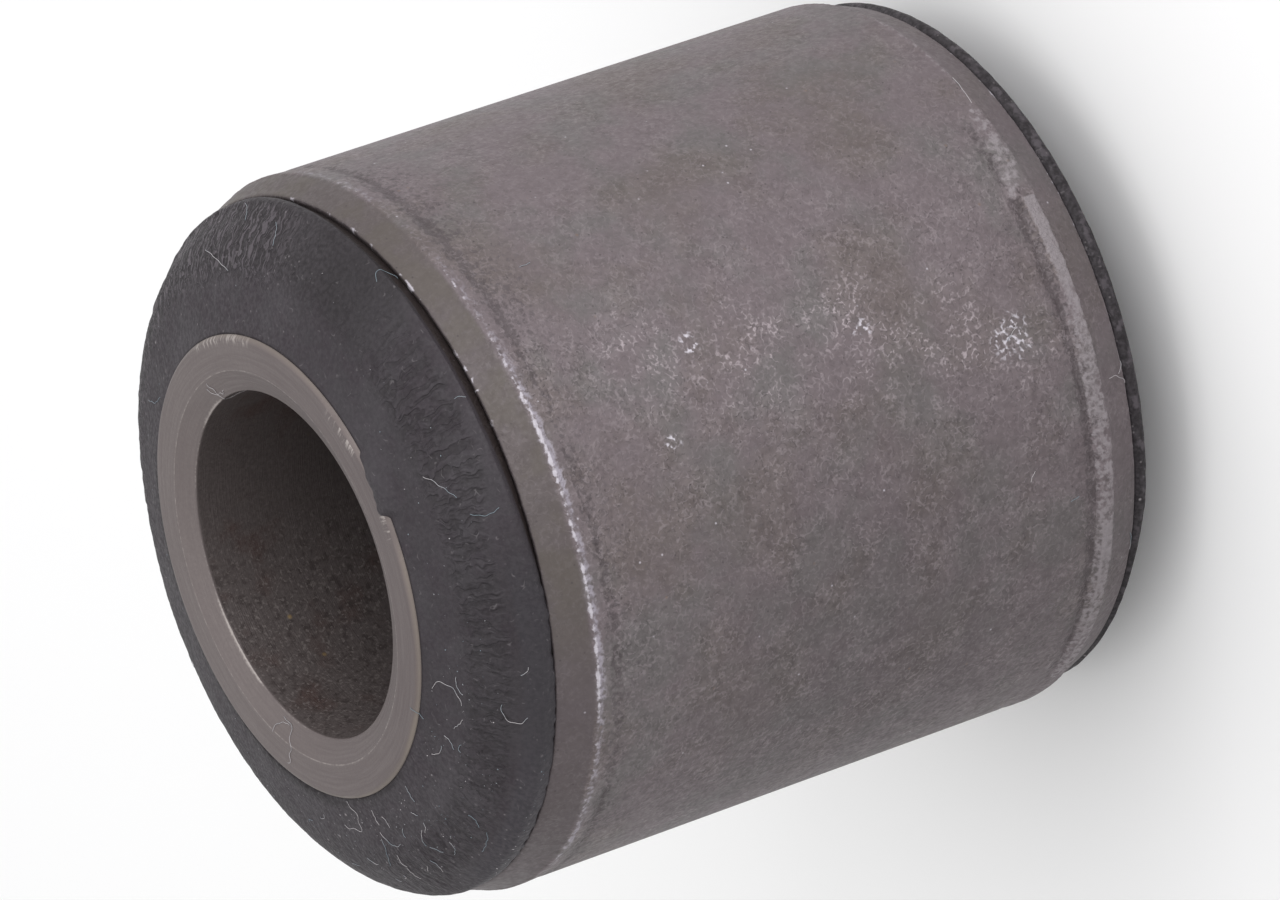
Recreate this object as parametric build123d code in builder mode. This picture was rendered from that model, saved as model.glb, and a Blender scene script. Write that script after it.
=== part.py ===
from build123d import *
import os
from math import atan2, cos, sin, tan

# Rubber metal bush: a steel sleeve and a steel tube, one inside the other, with one body of
# rubber moulded and bonded between them. The steel is the same about its middle plane, and the
# rubber stands out further at the upper end.
# Axis +Z, origin at the centre of the inner tube's lower end face. All sizes in millimetres.

# Inner tube
bore_diameter = 24.0
tube_wall = 4.0
tube_stand_out = 5.55  # how far the tube reaches past the sleeve's lip at each end
lead_in_width = 1.6  # shallow countersink at each mouth of the bore
lead_in_depth = 0.7
tube_chamfer = 0.4

# Outer sleeve
sleeve_diameter = 50.0
sleeve_wall = 2.0
sleeve_length = 46.5  # from lip to lip
swage_depth = 1.0  # how far each end is rolled in, on the radius
swage_length = 2.7  # how much of each end is rolled in
ridge_width = 0.5  # land left standing where the rolled end starts
groove_width = 1.0  # mark that the rolling tool leaves beside the ridge
groove_steep_width = 0.3  # its steep side, against the ridge
groove_depth = 0.15
lip_chamfer = 0.2

# Rubber element, whose free surface runs at each end from the tube over a crown to a shoulder,
# down a flank to a nose, and back under the nose into a crevice at the sleeve's lip
rubber_setback = 0.4  # how far the rubber stays below the tube's end face
overhang = 0.1  # how far the nose stands out past the lip, on the radius
nose_width = 0.6  # narrow upright land that ends the flank
crevice_share = 0.5  # how far the crevice reaches in across the sleeve's end face
shoulder_round = 2.5
upper_shoulder_share = 0.63  # place of the shoulder, from the tube to the nose
upper_shoulder_height = 3.8  # heights above the lip
upper_nose_height = 0.8
lower_shoulder_share = 0.8
lower_shoulder_height = 1.7
lower_nose_height = 0.55

# Radii and heights worked out from the above, heights counted from the middle plane
bore_radius = bore_diameter / 2
tube_radius = bore_radius + tube_wall
tube_end = sleeve_length / 2 + tube_stand_out
sleeve_radius = sleeve_diameter / 2
inner_radius = sleeve_radius - sleeve_wall
lip_radius = sleeve_radius - swage_depth
lip_height = sleeve_length / 2
ridge_height = lip_height - swage_length
nose_radius = lip_radius + overhang

# The rolled end keeps the sleeve's wall, so its inner corners follow from the swage angle
swage_angle = atan2(swage_depth, swage_length)
knee_height = ridge_height - sleeve_wall * tan(swage_angle / 2)
end_face_run = sleeve_wall * cos(swage_angle)
end_face_drop = sleeve_wall * sin(swage_angle)
lip_inner_radius = lip_radius - end_face_run
lip_inner_height = lip_height - end_face_drop

# Half sections are drawn on this plane: x is the radius, y the height above the middle plane
section = Plane.XZ.shift_origin((0, 0, tube_end))

# Outer sleeve: a plain tube whose two ends are rolled in to a short taper
with BuildPart() as outer_sleeve:
    with BuildSketch(section) as sleeve_section:
        with BuildLine():
            Polyline(
                (inner_radius, 0),
                (inner_radius, knee_height),
                (lip_inner_radius, lip_inner_height),
                (lip_radius, lip_height),
                (sleeve_radius, ridge_height),
                (sleeve_radius, 0),
            )
            mirror(about=Plane.XZ)
        make_face()
        corners = sleeve_section.vertices().group_by(Axis.Y)
        chamfer(corners[0] + corners[-1], length=lip_chamfer)
    revolve(axis=Axis.Z)

    # Mark of the rolling tool beside each ridge: steep against the ridge, then running out
    groove_start = ridge_height - ridge_width
    with BuildSketch(section) as groove_section:
        with BuildLine():
            Polyline(
                (sleeve_radius, groove_start),
                (sleeve_radius - groove_depth, groove_start - groove_steep_width),
                (sleeve_radius, groove_start - groove_width),
                close=True,
            )
        make_face()
        mirror(about=Plane.XZ)
    revolve(axis=Axis.Z, mode=Mode.SUBTRACT)

# Inner tube: a thick tube with faced ends, chamfered outside and opened out a little at the bore
with BuildPart() as inner_tube:
    with BuildSketch(section) as tube_section:
        with BuildLine():
            Polyline(
                (bore_radius, 0),
                (bore_radius, tube_end - lead_in_depth),
                (bore_radius + lead_in_width, tube_end),
                (tube_radius, tube_end),
                (tube_radius, 0),
            )
            mirror(about=Plane.XZ)
        make_face()
        outside_corners = tube_section.vertices().group_by(Axis.X)[-1]
        chamfer(outside_corners, length=tube_chamfer)
    revolve(axis=Axis.Z)


def free_surface(side, shoulder_share, shoulder_height, nose_height):
    """Corners of the rubber's free surface at one end, from the tube to the crevice's root.

    Args:
        side: 1 for the upper end, -1 for the lower end.
        shoulder_share: Place of the shoulder between the tube (0) and the nose (1).
        shoulder_height: Height of the shoulder above the lip.
        nose_height: Height of the nose's middle above the lip.
    """
    shoulder_radius = tube_radius + shoulder_share * (nose_radius - tube_radius)
    root_radius = lip_inner_radius + crevice_share * end_face_run
    root_height = lip_inner_height + crevice_share * end_face_drop
    return [
        (tube_radius, side * (tube_end - rubber_setback)),
        (shoulder_radius, side * (lip_height + shoulder_height)),
        (nose_radius, side * (lip_height + nose_height + nose_width / 2)),
        (nose_radius, side * (lip_height + nose_height - nose_width / 2)),
        (root_radius, side * root_height),
    ]


# Rubber element: bonded to the tube inside and to the sleeve outside
upper_surface = free_surface(1, upper_shoulder_share, upper_shoulder_height, upper_nose_height)
lower_surface = free_surface(-1, lower_shoulder_share, lower_shoulder_height, lower_nose_height)
with BuildPart() as rubber_element:
    with BuildSketch(section) as rubber_section:
        with BuildLine():
            for surface in (upper_surface, lower_surface):
                FilletPolyline(*surface[:3], radius=shoulder_round)
                Polyline(*surface[2:])
            Polyline(
                upper_surface[-1],
                (lip_inner_radius, lip_inner_height),
                (inner_radius, knee_height),
                (inner_radius, -knee_height),
                (lip_inner_radius, -lip_inner_height),
                lower_surface[-1],
            )
            Line(lower_surface[0], upper_surface[0])
        make_face()
    revolve(axis=Axis.Z)

outer_sleeve.part.label = "outer_sleeve"
rubber_element.part.label = "rubber_element"
inner_tube.part.label = "inner_tube"

os.makedirs("parts", exist_ok=True)
export_step(outer_sleeve.part, "parts/outer_sleeve.step")
export_step(rubber_element.part, "parts/rubber_element.step")
export_step(inner_tube.part, "parts/inner_tube.step")
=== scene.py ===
"""Looks of a rubber metal bush: a steel sleeve swaged over a rubber ring bonded to a thick steel tube.

Lengths are in millimetres until they reach Blender, which works in metres. The bush stands on its lower
end, its axis is +Z, a turn is an angle about that axis in degrees, a station is a height above the bush's
middle, and a reach is how far a station is from the middle, up or down.
"""

import logging
import math
from collections.abc import Callable, Sequence
from dataclasses import dataclass, fields
from enum import Enum
from itertools import pairwise
from typing import Any, ClassVar

import bmesh
import bpy
import numpy as np
from mathutils import Matrix, Vector

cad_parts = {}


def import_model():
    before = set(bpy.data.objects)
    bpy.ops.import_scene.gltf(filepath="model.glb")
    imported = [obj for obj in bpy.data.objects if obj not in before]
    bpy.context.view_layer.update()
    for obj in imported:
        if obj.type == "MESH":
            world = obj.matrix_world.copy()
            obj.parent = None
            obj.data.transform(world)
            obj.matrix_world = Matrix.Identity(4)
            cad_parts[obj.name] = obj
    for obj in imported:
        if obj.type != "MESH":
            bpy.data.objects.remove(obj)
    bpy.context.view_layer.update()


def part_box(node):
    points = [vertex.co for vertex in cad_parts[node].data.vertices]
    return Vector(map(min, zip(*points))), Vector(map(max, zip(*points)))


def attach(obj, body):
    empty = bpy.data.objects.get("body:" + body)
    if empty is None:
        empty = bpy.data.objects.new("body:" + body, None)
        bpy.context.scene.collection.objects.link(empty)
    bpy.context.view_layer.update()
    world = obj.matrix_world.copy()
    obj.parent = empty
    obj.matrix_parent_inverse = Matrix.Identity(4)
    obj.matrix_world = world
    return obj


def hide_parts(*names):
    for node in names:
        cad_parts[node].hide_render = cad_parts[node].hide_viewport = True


MM = 0.001
CIRCLE = 360.0
HALF_CIRCLE = 180.0
FULL_TURN = 2 * math.pi
MERGE_DISTANCE = 1e-6
ROOT_BODY = "root"

Piece = bpy.types.Object
Mask = np.ndarray

log = logging.getLogger("rubber_metal_bush")


class Node(Enum):
    """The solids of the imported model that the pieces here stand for."""

    SLEEVE = "outer_sleeve"
    RUBBER = "rubber_element"
    TUBE = "inner_tube"


class Slot(Enum):
    """The record's material slots."""

    SLEEVE = "sleeve_steel"
    RUBBER = "bonded_rubber"
    TUBE = "tube_steel"


# --- Modelling bench ---


@dataclass(frozen=True)
class Corner:
    """A corner of a turned section.

    Attributes:
        radius: Distance from the axis.
        station: Height above the middle.
        rounding: How far from the corner its rounding starts, or 0 for a sharp one.
        rows: How many rows of faces the stretch to the next corner has.
    """

    radius: float
    station: float
    rounding: float = 0.0
    rows: int = 1


@dataclass
class Lathe:
    """Draws a section edge by edge and turns it into a closed ring.

    Attributes:
        middle: Height of the bush's middle above the floor, in metres.
    """

    ROUNDING_SEGMENTS: ClassVar[int] = 4

    middle: float

    def place(self, corner: Corner) -> Vector:
        """Gives a corner's point in the XZ plane, in metres."""
        return Vector((corner.radius * MM, 0.0, corner.station * MM + self.middle))

    def draw(self, name: str, corners: Sequence[Corner]) -> Piece:
        """Draws the closed line through the corners, rounds them and divides its stretches.

        Args:
            name: Name of the new piece.
            corners: The section's corners in order, without the first one repeated.

        Returns:
            The piece, still only a line of edges, in object mode.
        """
        points = [self.place(corner) for corner in corners]
        stretches = list(pairwise([*points, points[0]]))
        clear_selection()
        bpy.ops.mesh.primitive_plane_add(size=MM)
        section = bpy.context.active_object
        section.name = name
        bpy.ops.object.mode_set(mode="EDIT")
        bpy.ops.mesh.merge(type="CENTER")
        bpy.ops.transform.translate(value=points[0])
        for start, stop in stretches:
            bpy.ops.mesh.extrude_region_move(TRANSFORM_OT_translate={"value": stop - start})
        bpy.ops.mesh.select_all(action="SELECT")
        bpy.ops.mesh.remove_doubles(threshold=MERGE_DISTANCE)
        for corner, point in zip(corners, points):
            if corner.rounding:
                select_points(section, lambda spot, at=point: (spot - at).length < MERGE_DISTANCE)
                bpy.ops.mesh.bevel(
                    offset=corner.rounding * MM, segments=self.ROUNDING_SEGMENTS, affect="VERTICES"
                )
        for corner, (start, stop) in zip(corners, stretches):
            if corner.rows > 1:
                select_points(section, lambda spot, a=start, b=stop: on_stretch(spot, a, b))
                bpy.ops.mesh.subdivide(number_cuts=corner.rows - 1)
        bpy.ops.object.mode_set(mode="OBJECT")
        return section

    def turn(self, section: Piece, steps: int) -> Piece:
        """Sweeps the section once round the axis and closes the seam.

        Args:
            section: The piece that draw() gave.
            steps: How many faces go round.

        Returns:
            The same piece, as a closed ring with its faces outwards.
        """
        bpy.ops.object.modifier_add(type="SCREW")
        screw = section.modifiers[-1]
        screw.angle = FULL_TURN
        screw.steps = steps
        screw.render_steps = steps
        bpy.ops.object.modifier_apply(modifier=screw.name)
        bpy.ops.object.mode_set(mode="EDIT")
        bpy.ops.mesh.select_all(action="SELECT")
        bpy.ops.mesh.remove_doubles(threshold=MERGE_DISTANCE)
        bpy.ops.mesh.normals_make_consistent(inside=False)
        bpy.ops.object.mode_set(mode="OBJECT")
        return section


def clear_selection() -> None:
    """Deselects every object and leaves none active."""
    bpy.ops.object.select_all(action="DESELECT")
    bpy.context.view_layer.objects.active = None


def select_points(piece: Piece, wanted: Callable[[Vector], bool]) -> None:
    """Selects the points of the piece being edited that pass a test, with the edges between them.

    Args:
        piece: The piece in edit mode.
        wanted: Says of a point's place whether it is wanted.
    """
    bpy.ops.mesh.select_mode(type="VERT")
    bpy.ops.mesh.select_all(action="DESELECT")
    mesh = bmesh.from_edit_mesh(piece.data)
    for point in mesh.verts:
        point.select_set(wanted(point.co))
    mesh.select_flush(True)
    bmesh.update_edit_mesh(piece.data)


def on_stretch(spot: Vector, start: Vector, stop: Vector) -> bool:
    """Says whether a spot lies on the straight stretch between two corners.

    Args:
        spot: The spot.
        start: The first corner.
        stop: The second corner.

    Returns:
        Whether it does, the corners themselves included.
    """
    along = (stop - start).normalized()
    reach = (spot - start).dot(along)
    aside = (spot - start - along * reach).length
    return aside < MERGE_DISTANCE and -MERGE_DISTANCE < reach < (stop - start).length + MERGE_DISTANCE


# --- Relief that is worked into the turned skins ---


def rise(start: float, stop: float, value: Mask) -> Mask:
    """Goes smoothly from 0 at start to 1 at stop."""
    share = np.clip((value - start) / (stop - start), 0.0, 1.0)
    return share * share * (3.0 - 2.0 * share)


def hump(value: Mask, centre: float | Mask, width: float) -> Mask:
    """Is 1 at the centre and fades to both sides over about a width."""
    return np.exp(-(((value - centre) / width) ** 2))


@dataclass(frozen=True)
class Arc:
    """A stretch of the turn on which something is at work.

    Attributes:
        start: Where it begins, in degrees.
        stop: Where it ends, counting upwards from start.
        fade: How many degrees it takes to fade out at both ends.
        share: How strong it is on the arc.
    """

    start: float
    stop: float
    fade: float
    share: float = 1.0

    def at(self, turn: Mask) -> Mask:
        """Gives the strength at each point.

        Args:
            turn: Angles in degrees.

        Returns:
            The share on the arc, and 0 well away from it.
        """
        half = (self.stop - self.start) / 2
        away = np.abs((turn - self.start - half + HALF_CIRCLE) % CIRCLE - HALF_CIRCLE)
        return self.share * (1.0 - rise(half, half + self.fade, away))


@dataclass(frozen=True)
class Wave:
    """Smooth random unevenness of a turned skin, the same at every run.

    Attributes:
        seed: Which of the endless random patterns it follows.
        arc: Size of a bump round the axis, in degrees.
        pitch: Size of a bump along the skin, in millimetres, or nearly the bush's whole length.
        depth: How far it goes to both sides of 0.
        shift: How far its pattern is turned, in degrees.
        ROWS: How many bumps the pattern has along the skin before it repeats.
    """

    ROWS: ClassVar[int] = 512

    seed: int
    arc: float
    pitch: float = 50.0
    depth: float = 1.0
    shift: float = 0.0

    def at(self, turn: Mask, along: Mask) -> Mask:
        """Gives the unevenness at each point.

        Args:
            turn: Angles in degrees.
            along: Places along the skin, in millimetres.

        Returns:
            Values from -depth to depth.
        """
        columns = max(3, round(CIRCLE / self.arc))
        table = np.random.default_rng(self.seed).uniform(-1.0, 1.0, (columns, self.ROWS))
        across, up = ((turn + self.shift) % CIRCLE) / CIRCLE * columns, along / self.pitch
        column, row = np.floor(across).astype(int), np.floor(up).astype(int)
        share_across, share_up = rise(0.0, 1.0, across - column), rise(0.0, 1.0, up - row)
        near, far = column % columns, (column + 1) % columns
        low, high = row % self.ROWS, (row + 1) % self.ROWS
        lower = table[near, low] * (1 - share_across) + table[far, low] * share_across
        upper = table[near, high] * (1 - share_across) + table[far, high] * share_across
        return self.depth * (lower * (1 - share_up) + upper * share_up)


class Skin:
    """The points of a turned piece in the terms of its maker: turn, radius and station.

    The turned radius, the reach and which points are above the middle stay as the lathe left them.
    """

    def __init__(self, piece: Piece, middle: float) -> None:
        """Reads the points.

        Args:
            piece: A turned piece at the origin.
            middle: Height of the bush's middle, in metres.
        """
        self.piece = piece
        self.middle = middle
        places, normals = self.read("co"), self.read("normal")
        self.turn = np.degrees(np.arctan2(places[:, 1], places[:, 0]))
        self.radius = np.hypot(places[:, 0], places[:, 1]) / MM
        self.station = (places[:, 2] - middle) / MM
        self.turned_radius = self.radius
        self.reach = np.abs(self.station)
        self.upper = self.station > 0
        outward = places[:, :2] / np.hypot(places[:, 0], places[:, 1])[:, None]
        self.facing_out = (normals[:, :2] * outward).sum(1)
        self.facing_up = normals[:, 2]

    def read(self, name: str) -> Mask:
        """Reads one property of every point.

        Args:
            name: Name of a property that has three parts.

        Returns:
            One row of three for each point.
        """
        flat = np.empty(len(self.piece.data.vertices) * 3)
        self.piece.data.vertices.foreach_get(name, flat)
        return flat.reshape(-1, 3)

    def push(self, amount: Mask) -> None:
        """Moves each point out along its normal, by millimetres."""
        self.radius = self.radius + amount * self.facing_out
        self.station = self.station + amount * self.facing_up

    def apply(self) -> None:
        """Writes the points back into the piece."""
        angle = np.radians(self.turn)
        height = self.station * MM + self.middle
        places = np.stack([self.radius * MM * np.cos(angle), self.radius * MM * np.sin(angle), height], 1)
        self.piece.data.vertices.foreach_set("co", places.ravel())
        self.piece.data.update()

    def paint(self, name: str, mask: Mask) -> None:
        """Stores a mask on the points, one value from 0 to 1 for each, for the finish to read."""
        layer = self.piece.data.attributes.new(name, "FLOAT", "POINT")
        layer.data.foreach_set("value", np.clip(mask, 0.0, 1.0).astype(np.float32))


# --- Nodes ---

Colour = tuple[float, float, float, float]
Socket = bpy.types.NodeSocket
Look = tuple[Socket, Socket, Socket]

SCREEN_LEVELS = 255
SCREEN_TOE = 0.04045
SCREEN_TOE_SLOPE = 12.92
SCREEN_LIFT = 0.055
SCREEN_POWER = 2.4


def linear(level: int) -> float:
    """Turns one part of a colour as a screen shows it, 0 to 255, into the shader's linear value."""
    share = level / SCREEN_LEVELS
    curved = ((share + SCREEN_LIFT) / (1 + SCREEN_LIFT)) ** SCREEN_POWER
    return share / SCREEN_TOE_SLOPE if share <= SCREEN_TOE else curved


def paint_chip(red: int, green: int, blue: int) -> Colour:
    """Gives the shader's colour for a colour as a screen shows it, each part from 0 to 255."""
    return (linear(red), linear(green), linear(blue), 1.0)


@dataclass
class Recipe:
    """Lays nodes into one tree, a material's or a group's, and links them.

    Attributes:
        tree: The node tree to fill.
    """

    tree: bpy.types.NodeTree

    def add(self, kind: str, inputs: dict[str | int, Any] | None = None, **settings: Any) -> bpy.types.Node:
        """Adds a node.

        Args:
            kind: The node's type.
            inputs: For each input, a value or the output that feeds it.
            **settings: Properties of the node itself.

        Returns:
            The new node.
        """
        node = self.tree.nodes.new(kind)
        for name, value in settings.items():
            setattr(node, name, value)
        for name, value in (inputs or {}).items():
            if isinstance(value, Socket):
                self.tree.links.new(value, node.inputs[name])
            else:
                node.inputs[name].default_value = value
        return node

    def noise(self, place: Any, scale: Any, detail: Any = 2.0, roughness: float = 0.5) -> Socket:
        """Gives cloudy noise from 0 to 1, with scale clouds per unit of place and some finer layers."""
        inputs = {"Vector": place, "Scale": scale, "Detail": detail, "Roughness": roughness}
        return self.add("ShaderNodeTexNoise", inputs).outputs["Fac"]

    def maths(self, operation: str, first: Any, second: Any = 0.0, clamp: bool = False) -> Socket:
        """Gives the result of an operation on two values."""
        node = self.add("ShaderNodeMath", {0: first, 1: second}, operation=operation, use_clamp=clamp)
        return node.outputs[0]

    def times(self, first: Any, second: Any) -> Socket:
        """Multiplies two values."""
        return self.maths("MULTIPLY", first, second)

    def plus(self, first: Any, second: Any) -> Socket:
        """Adds two values."""
        return self.maths("ADD", first, second)

    def minus(self, first: Any, second: Any) -> Socket:
        """Takes the second value from the first."""
        return self.maths("SUBTRACT", first, second)

    def larger(self, first: Any, second: Any) -> Socket:
        """Gives the larger of two values."""
        return self.maths("MAXIMUM", first, second)

    def vector(self, operation: str, first: Any, second: Any = (0.0, 0.0, 0.0)) -> Socket:
        """Gives the result of an operation on two vectors."""
        return self.add("ShaderNodeVectorMath", {0: first, 1: second}, operation=operation).outputs[0]

    def stretched(self, vector: Any, factor: Any) -> Socket:
        """Multiplies a vector by a value."""
        return self.add("ShaderNodeVectorMath", {0: vector, "Scale": factor}, operation="SCALE").outputs[0]

    def distance(self, first: Any, second: Any = (0.0, 0.0, 0.0)) -> Socket:
        """Gives the distance between two points, or of one from the origin."""
        return self.add("ShaderNodeVectorMath", {0: first, 1: second}, operation="DISTANCE").outputs["Value"]

    def between(self, value: Any, low: Any, high: Any, at_low: float = 0.0, at_high: float = 1.0) -> Socket:
        """Goes smoothly from one result at low to another at high, and stays there beyond."""
        inputs = {"Value": value, "From Min": low, "From Max": high, "To Min": at_low, "To Max": at_high}
        return self.add("ShaderNodeMapRange", inputs, interpolation_type="SMOOTHSTEP").outputs[0]

    def graded(self, mask: Any, bare: float, full: float) -> Socket:
        """Goes smoothly from one result, where a mask is 0, to another, where it is 1."""
        return self.between(mask, 0.0, 1.0, at_low=bare, at_high=full)

    def blend(self, share: Any, first: Any, second: Any, mode: str = "MIX") -> Socket:
        """Mixes two colours."""
        inputs = {0: share, 6: first, 7: second}
        return self.add("ShaderNodeMix", inputs, data_type="RGBA", blend_type=mode).outputs[2]

    def coat(self, colour: Any, mask: Any, paint: Colour, share: Any) -> Socket:
        """Lays paint over a colour, where a mask says, as thick as the share says."""
        return self.blend(self.times(mask, share), colour, paint)


# --- Shared effects ---


class Effect:
    """Settings of a shared effect, whose fields are the inputs of the effect's node group."""

    @staticmethod
    def lay(recipe: Recipe, given: dict[str, Socket]) -> Socket:
        """Lays the nodes between the group's inputs and its mask.

        Args:
            recipe: The group's recipe.
            given: The group's inputs by name.

        Returns:
            The mask.
        """
        raise NotImplementedError

    def inputs(self) -> dict[str, Any]:
        """Gives the settings under the names that the group's inputs have."""
        return {name.capitalize(): value for name, value in vars(self).items()}


@dataclass(frozen=True)
class Mottle(Effect):
    """Clouds of a size in millimetres, whose mask goes from 0 where they are low to 1 where they are high."""

    size: float
    low: float
    high: float

    @staticmethod
    def lay(recipe: Recipe, given: dict[str, Socket]) -> Socket:
        """Lays the nodes of the clouds."""
        scale = recipe.maths("DIVIDE", 1.0, given["Size"])
        cloud = recipe.noise(given["Place"], scale, detail=4.0, roughness=0.55)
        return recipe.between(cloud, given["Low"], given["High"])


@dataclass(frozen=True)
class Specks(Effect):
    """Soft dots in a share of scattered cells: a cell's size is in millimetres, a dot's radius in cells."""

    size: float
    share: float
    dot: float

    @staticmethod
    def lay(recipe: Recipe, given: dict[str, Socket]) -> Socket:
        """Lays the nodes of the dots.

        Args:
            recipe: The group's recipe.
            given: The group's inputs by name.

        Returns:
            The mask.
        """
        scale = recipe.maths("DIVIDE", 1.0, given["Size"])
        cells = recipe.add("ShaderNodeTexVoronoi", {"Vector": given["Place"], "Scale": scale})
        lot = recipe.add("ShaderNodeSeparateColor", {0: cells.outputs["Color"]}).outputs[0]
        chosen = recipe.maths("LESS_THAN", lot, given["Share"])
        return recipe.times(chosen, recipe.between(cells.outputs["Distance"], given["Dot"], 0.0))


@dataclass(frozen=True)
class Strokes(Effect):
    """Short crooked strokes: cut lengths of the line along which a cloud is half thick.

    Attributes:
        size: Size of the cloud, in millimetres.
        width: How far from half thick the line reaches.
        share: How thick a second cloud is where the strokes set in.
    """

    size: float
    width: float
    share: float

    @staticmethod
    def lay(recipe: Recipe, given: dict[str, Socket]) -> Socket:
        """Lays the nodes of the strokes.

        Args:
            recipe: The group's recipe.
            given: The group's inputs by name.

        Returns:
            The mask.
        """
        elsewhere, finer, onset = (37.0, 11.0, 23.0), 1.7, 0.1
        scale = recipe.maths("DIVIDE", 1.0, given["Size"])
        cloud = recipe.noise(given["Place"], scale, detail=1.0)
        line = recipe.between(recipe.maths("ABSOLUTE", recipe.minus(cloud, 0.5)), given["Width"], 0.0)
        shifted = recipe.vector("ADD", given["Place"], elsewhere)
        lot = recipe.noise(shifted, recipe.times(scale, finer), detail=1.0)
        return recipe.times(line, recipe.between(lot, given["Share"], recipe.plus(given["Share"], onset)))


@dataclass(frozen=True)
class Streaks(Effect):
    """Clouds that are stretched about the axis.

    Attributes:
        around: Clouds per radian of turn.
        across: Clouds per millimetre of radius or height.
        warp: How far they are bent, in millimetres.
        low: How thick a cloud is where the mask leaves 0.
        high: How thick it is where the mask reaches 1.
        detail: How many finer layers they have.
    """

    around: float
    across: float
    warp: float
    low: float
    high: float
    detail: float = 3.0

    @staticmethod
    def lay(recipe: Recipe, given: dict[str, Socket]) -> Socket:
        """Lays the nodes of the stretched clouds.

        Args:
            recipe: The group's recipe.
            given: The group's inputs by name.

        Returns:
            The mask.
        """
        middle_grey, level = (0.5, 0.5, 0.5), (1.0, 1.0, 0.0)
        bends = recipe.add("ShaderNodeTexNoise", {"Vector": given["Place"], "Scale": 1.1, "Detail": 1.0})
        shove = recipe.vector("SUBTRACT", bends.outputs["Color"], middle_grey)
        place = recipe.vector("ADD", given["Place"], recipe.stretched(shove, given["Warp"]))
        flat = recipe.vector("MULTIPLY", place, level)
        spread = recipe.stretched(recipe.vector("NORMALIZE", flat), given["Around"])
        height = recipe.add("ShaderNodeSeparateXYZ", {0: place}).outputs["Z"]
        across = recipe.times(recipe.plus(recipe.distance(flat), height), given["Across"])
        lift = recipe.add("ShaderNodeCombineXYZ", {"Z": across}).outputs["Vector"]
        cloud = recipe.noise(recipe.vector("ADD", spread, lift), 1.0, detail=given["Detail"], roughness=0.6)
        return recipe.between(cloud, given["Low"], given["High"])


@dataclass(frozen=True)
class Patch(Effect):
    """One soft round patch, its centre in millimetres from the axis and the floor, its reach a radius."""

    centre: tuple[float, float, float]
    reach: float

    @staticmethod
    def lay(recipe: Recipe, given: dict[str, Socket]) -> Socket:
        """Lays the nodes of the patch."""
        return recipe.between(recipe.distance(given["Place"], given["Centre"]), given["Reach"], 0.0)


class Effects:
    """The shared effects' node groups, each built once and placed in a material with its own values."""

    def __init__(self) -> None:
        """Builds every group."""
        self.groups = {kind: self.build(kind) for kind in (Mottle, Specks, Strokes, Streaks, Patch)}

    def build(self, kind: type[Effect]) -> bpy.types.NodeTree:
        """Makes one group, with a place in millimetres and the effect's fields as its inputs.

        Args:
            kind: The effect.

        Returns:
            The group.
        """
        group = bpy.data.node_groups.new(kind.__name__.lower(), "ShaderNodeTree")
        group.interface.new_socket("Place", in_out="INPUT", socket_type="NodeSocketVector")
        for entry in fields(kind):
            socket_type = "NodeSocketFloat" if entry.type is float else "NodeSocketVector"
            group.interface.new_socket(entry.name.capitalize(), in_out="INPUT", socket_type=socket_type)
        group.interface.new_socket("Mask", in_out="OUTPUT", socket_type="NodeSocketFloat")
        recipe = Recipe(group)
        given = recipe.add("NodeGroupInput").outputs
        recipe.add("NodeGroupOutput", {"Mask": kind.lay(recipe, given)})
        return group


class Surface(Recipe):
    """The recipe of one material, with the place on the bush and the shared effects at hand."""

    def __init__(self, name: str, effects: Effects) -> None:
        """Starts the material.

        Args:
            name: The material's name.
            effects: The shared effects.
        """
        self.material = bpy.data.materials.new(name)
        self.material.use_nodes = True
        self.material.node_tree.nodes.clear()
        super().__init__(self.material.node_tree)
        self.effects = effects
        self.place = self.stretched(self.add("ShaderNodeTexCoord").outputs["Object"], 1 / MM)

    def lay(self, effect: Effect) -> Socket:
        """Places a shared effect.

        Args:
            effect: Its settings.

        Returns:
            Its mask.
        """
        inputs = {"Place": self.place, **effect.inputs()}
        group = self.effects.groups[type(effect)]
        return self.add("ShaderNodeGroup", inputs, node_tree=group).outputs["Mask"]

    def masks(self, *names: str) -> list[Socket]:
        """Gives masks that were painted on the piece's points."""
        return [self.add("ShaderNodeAttribute", attribute_name=name).outputs["Fac"] for name in names]


# --- Finishes ---


@dataclass(frozen=True)
class Finish:
    """What the finishes share: one surface shader fed by a colour, a roughness and a fine relief.

    Attributes:
        name: The material's name.
        gloss: Specular level of the surface.
        metal: How much of it reflects as bare metal.
        relief_depth: Depth of the finest relief, in millimetres.
    """

    name: str
    gloss: float
    metal: float
    relief_depth: float

    def dress(self, surface: Surface) -> Look:
        """Gives the finish's colour, roughness and relief on a surface.

        Args:
            surface: The material's recipe.

        Returns:
            The three, with a relief of 1 for the whole relief depth.
        """
        raise NotImplementedError

    def material(self, effects: Effects) -> bpy.types.Material:
        """Makes the material.

        Args:
            effects: The shared effects.

        Returns:
            The material.
        """
        surface = Surface(self.name, effects)
        colour, roughness, height = self.dress(surface)
        relief = surface.add("ShaderNodeBump", {"Height": height, "Distance": self.relief_depth * MM})
        values = {
            "Base Color": colour,
            "Roughness": roughness,
            "Metallic": self.metal,
            "Specular IOR Level": self.gloss,
            "Normal": relief.outputs[0],
        }
        shader = surface.add("ShaderNodeBsdfPrincipled", values)
        surface.add("ShaderNodeOutputMaterial", {0: shader.outputs[0]})
        return surface.material


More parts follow.
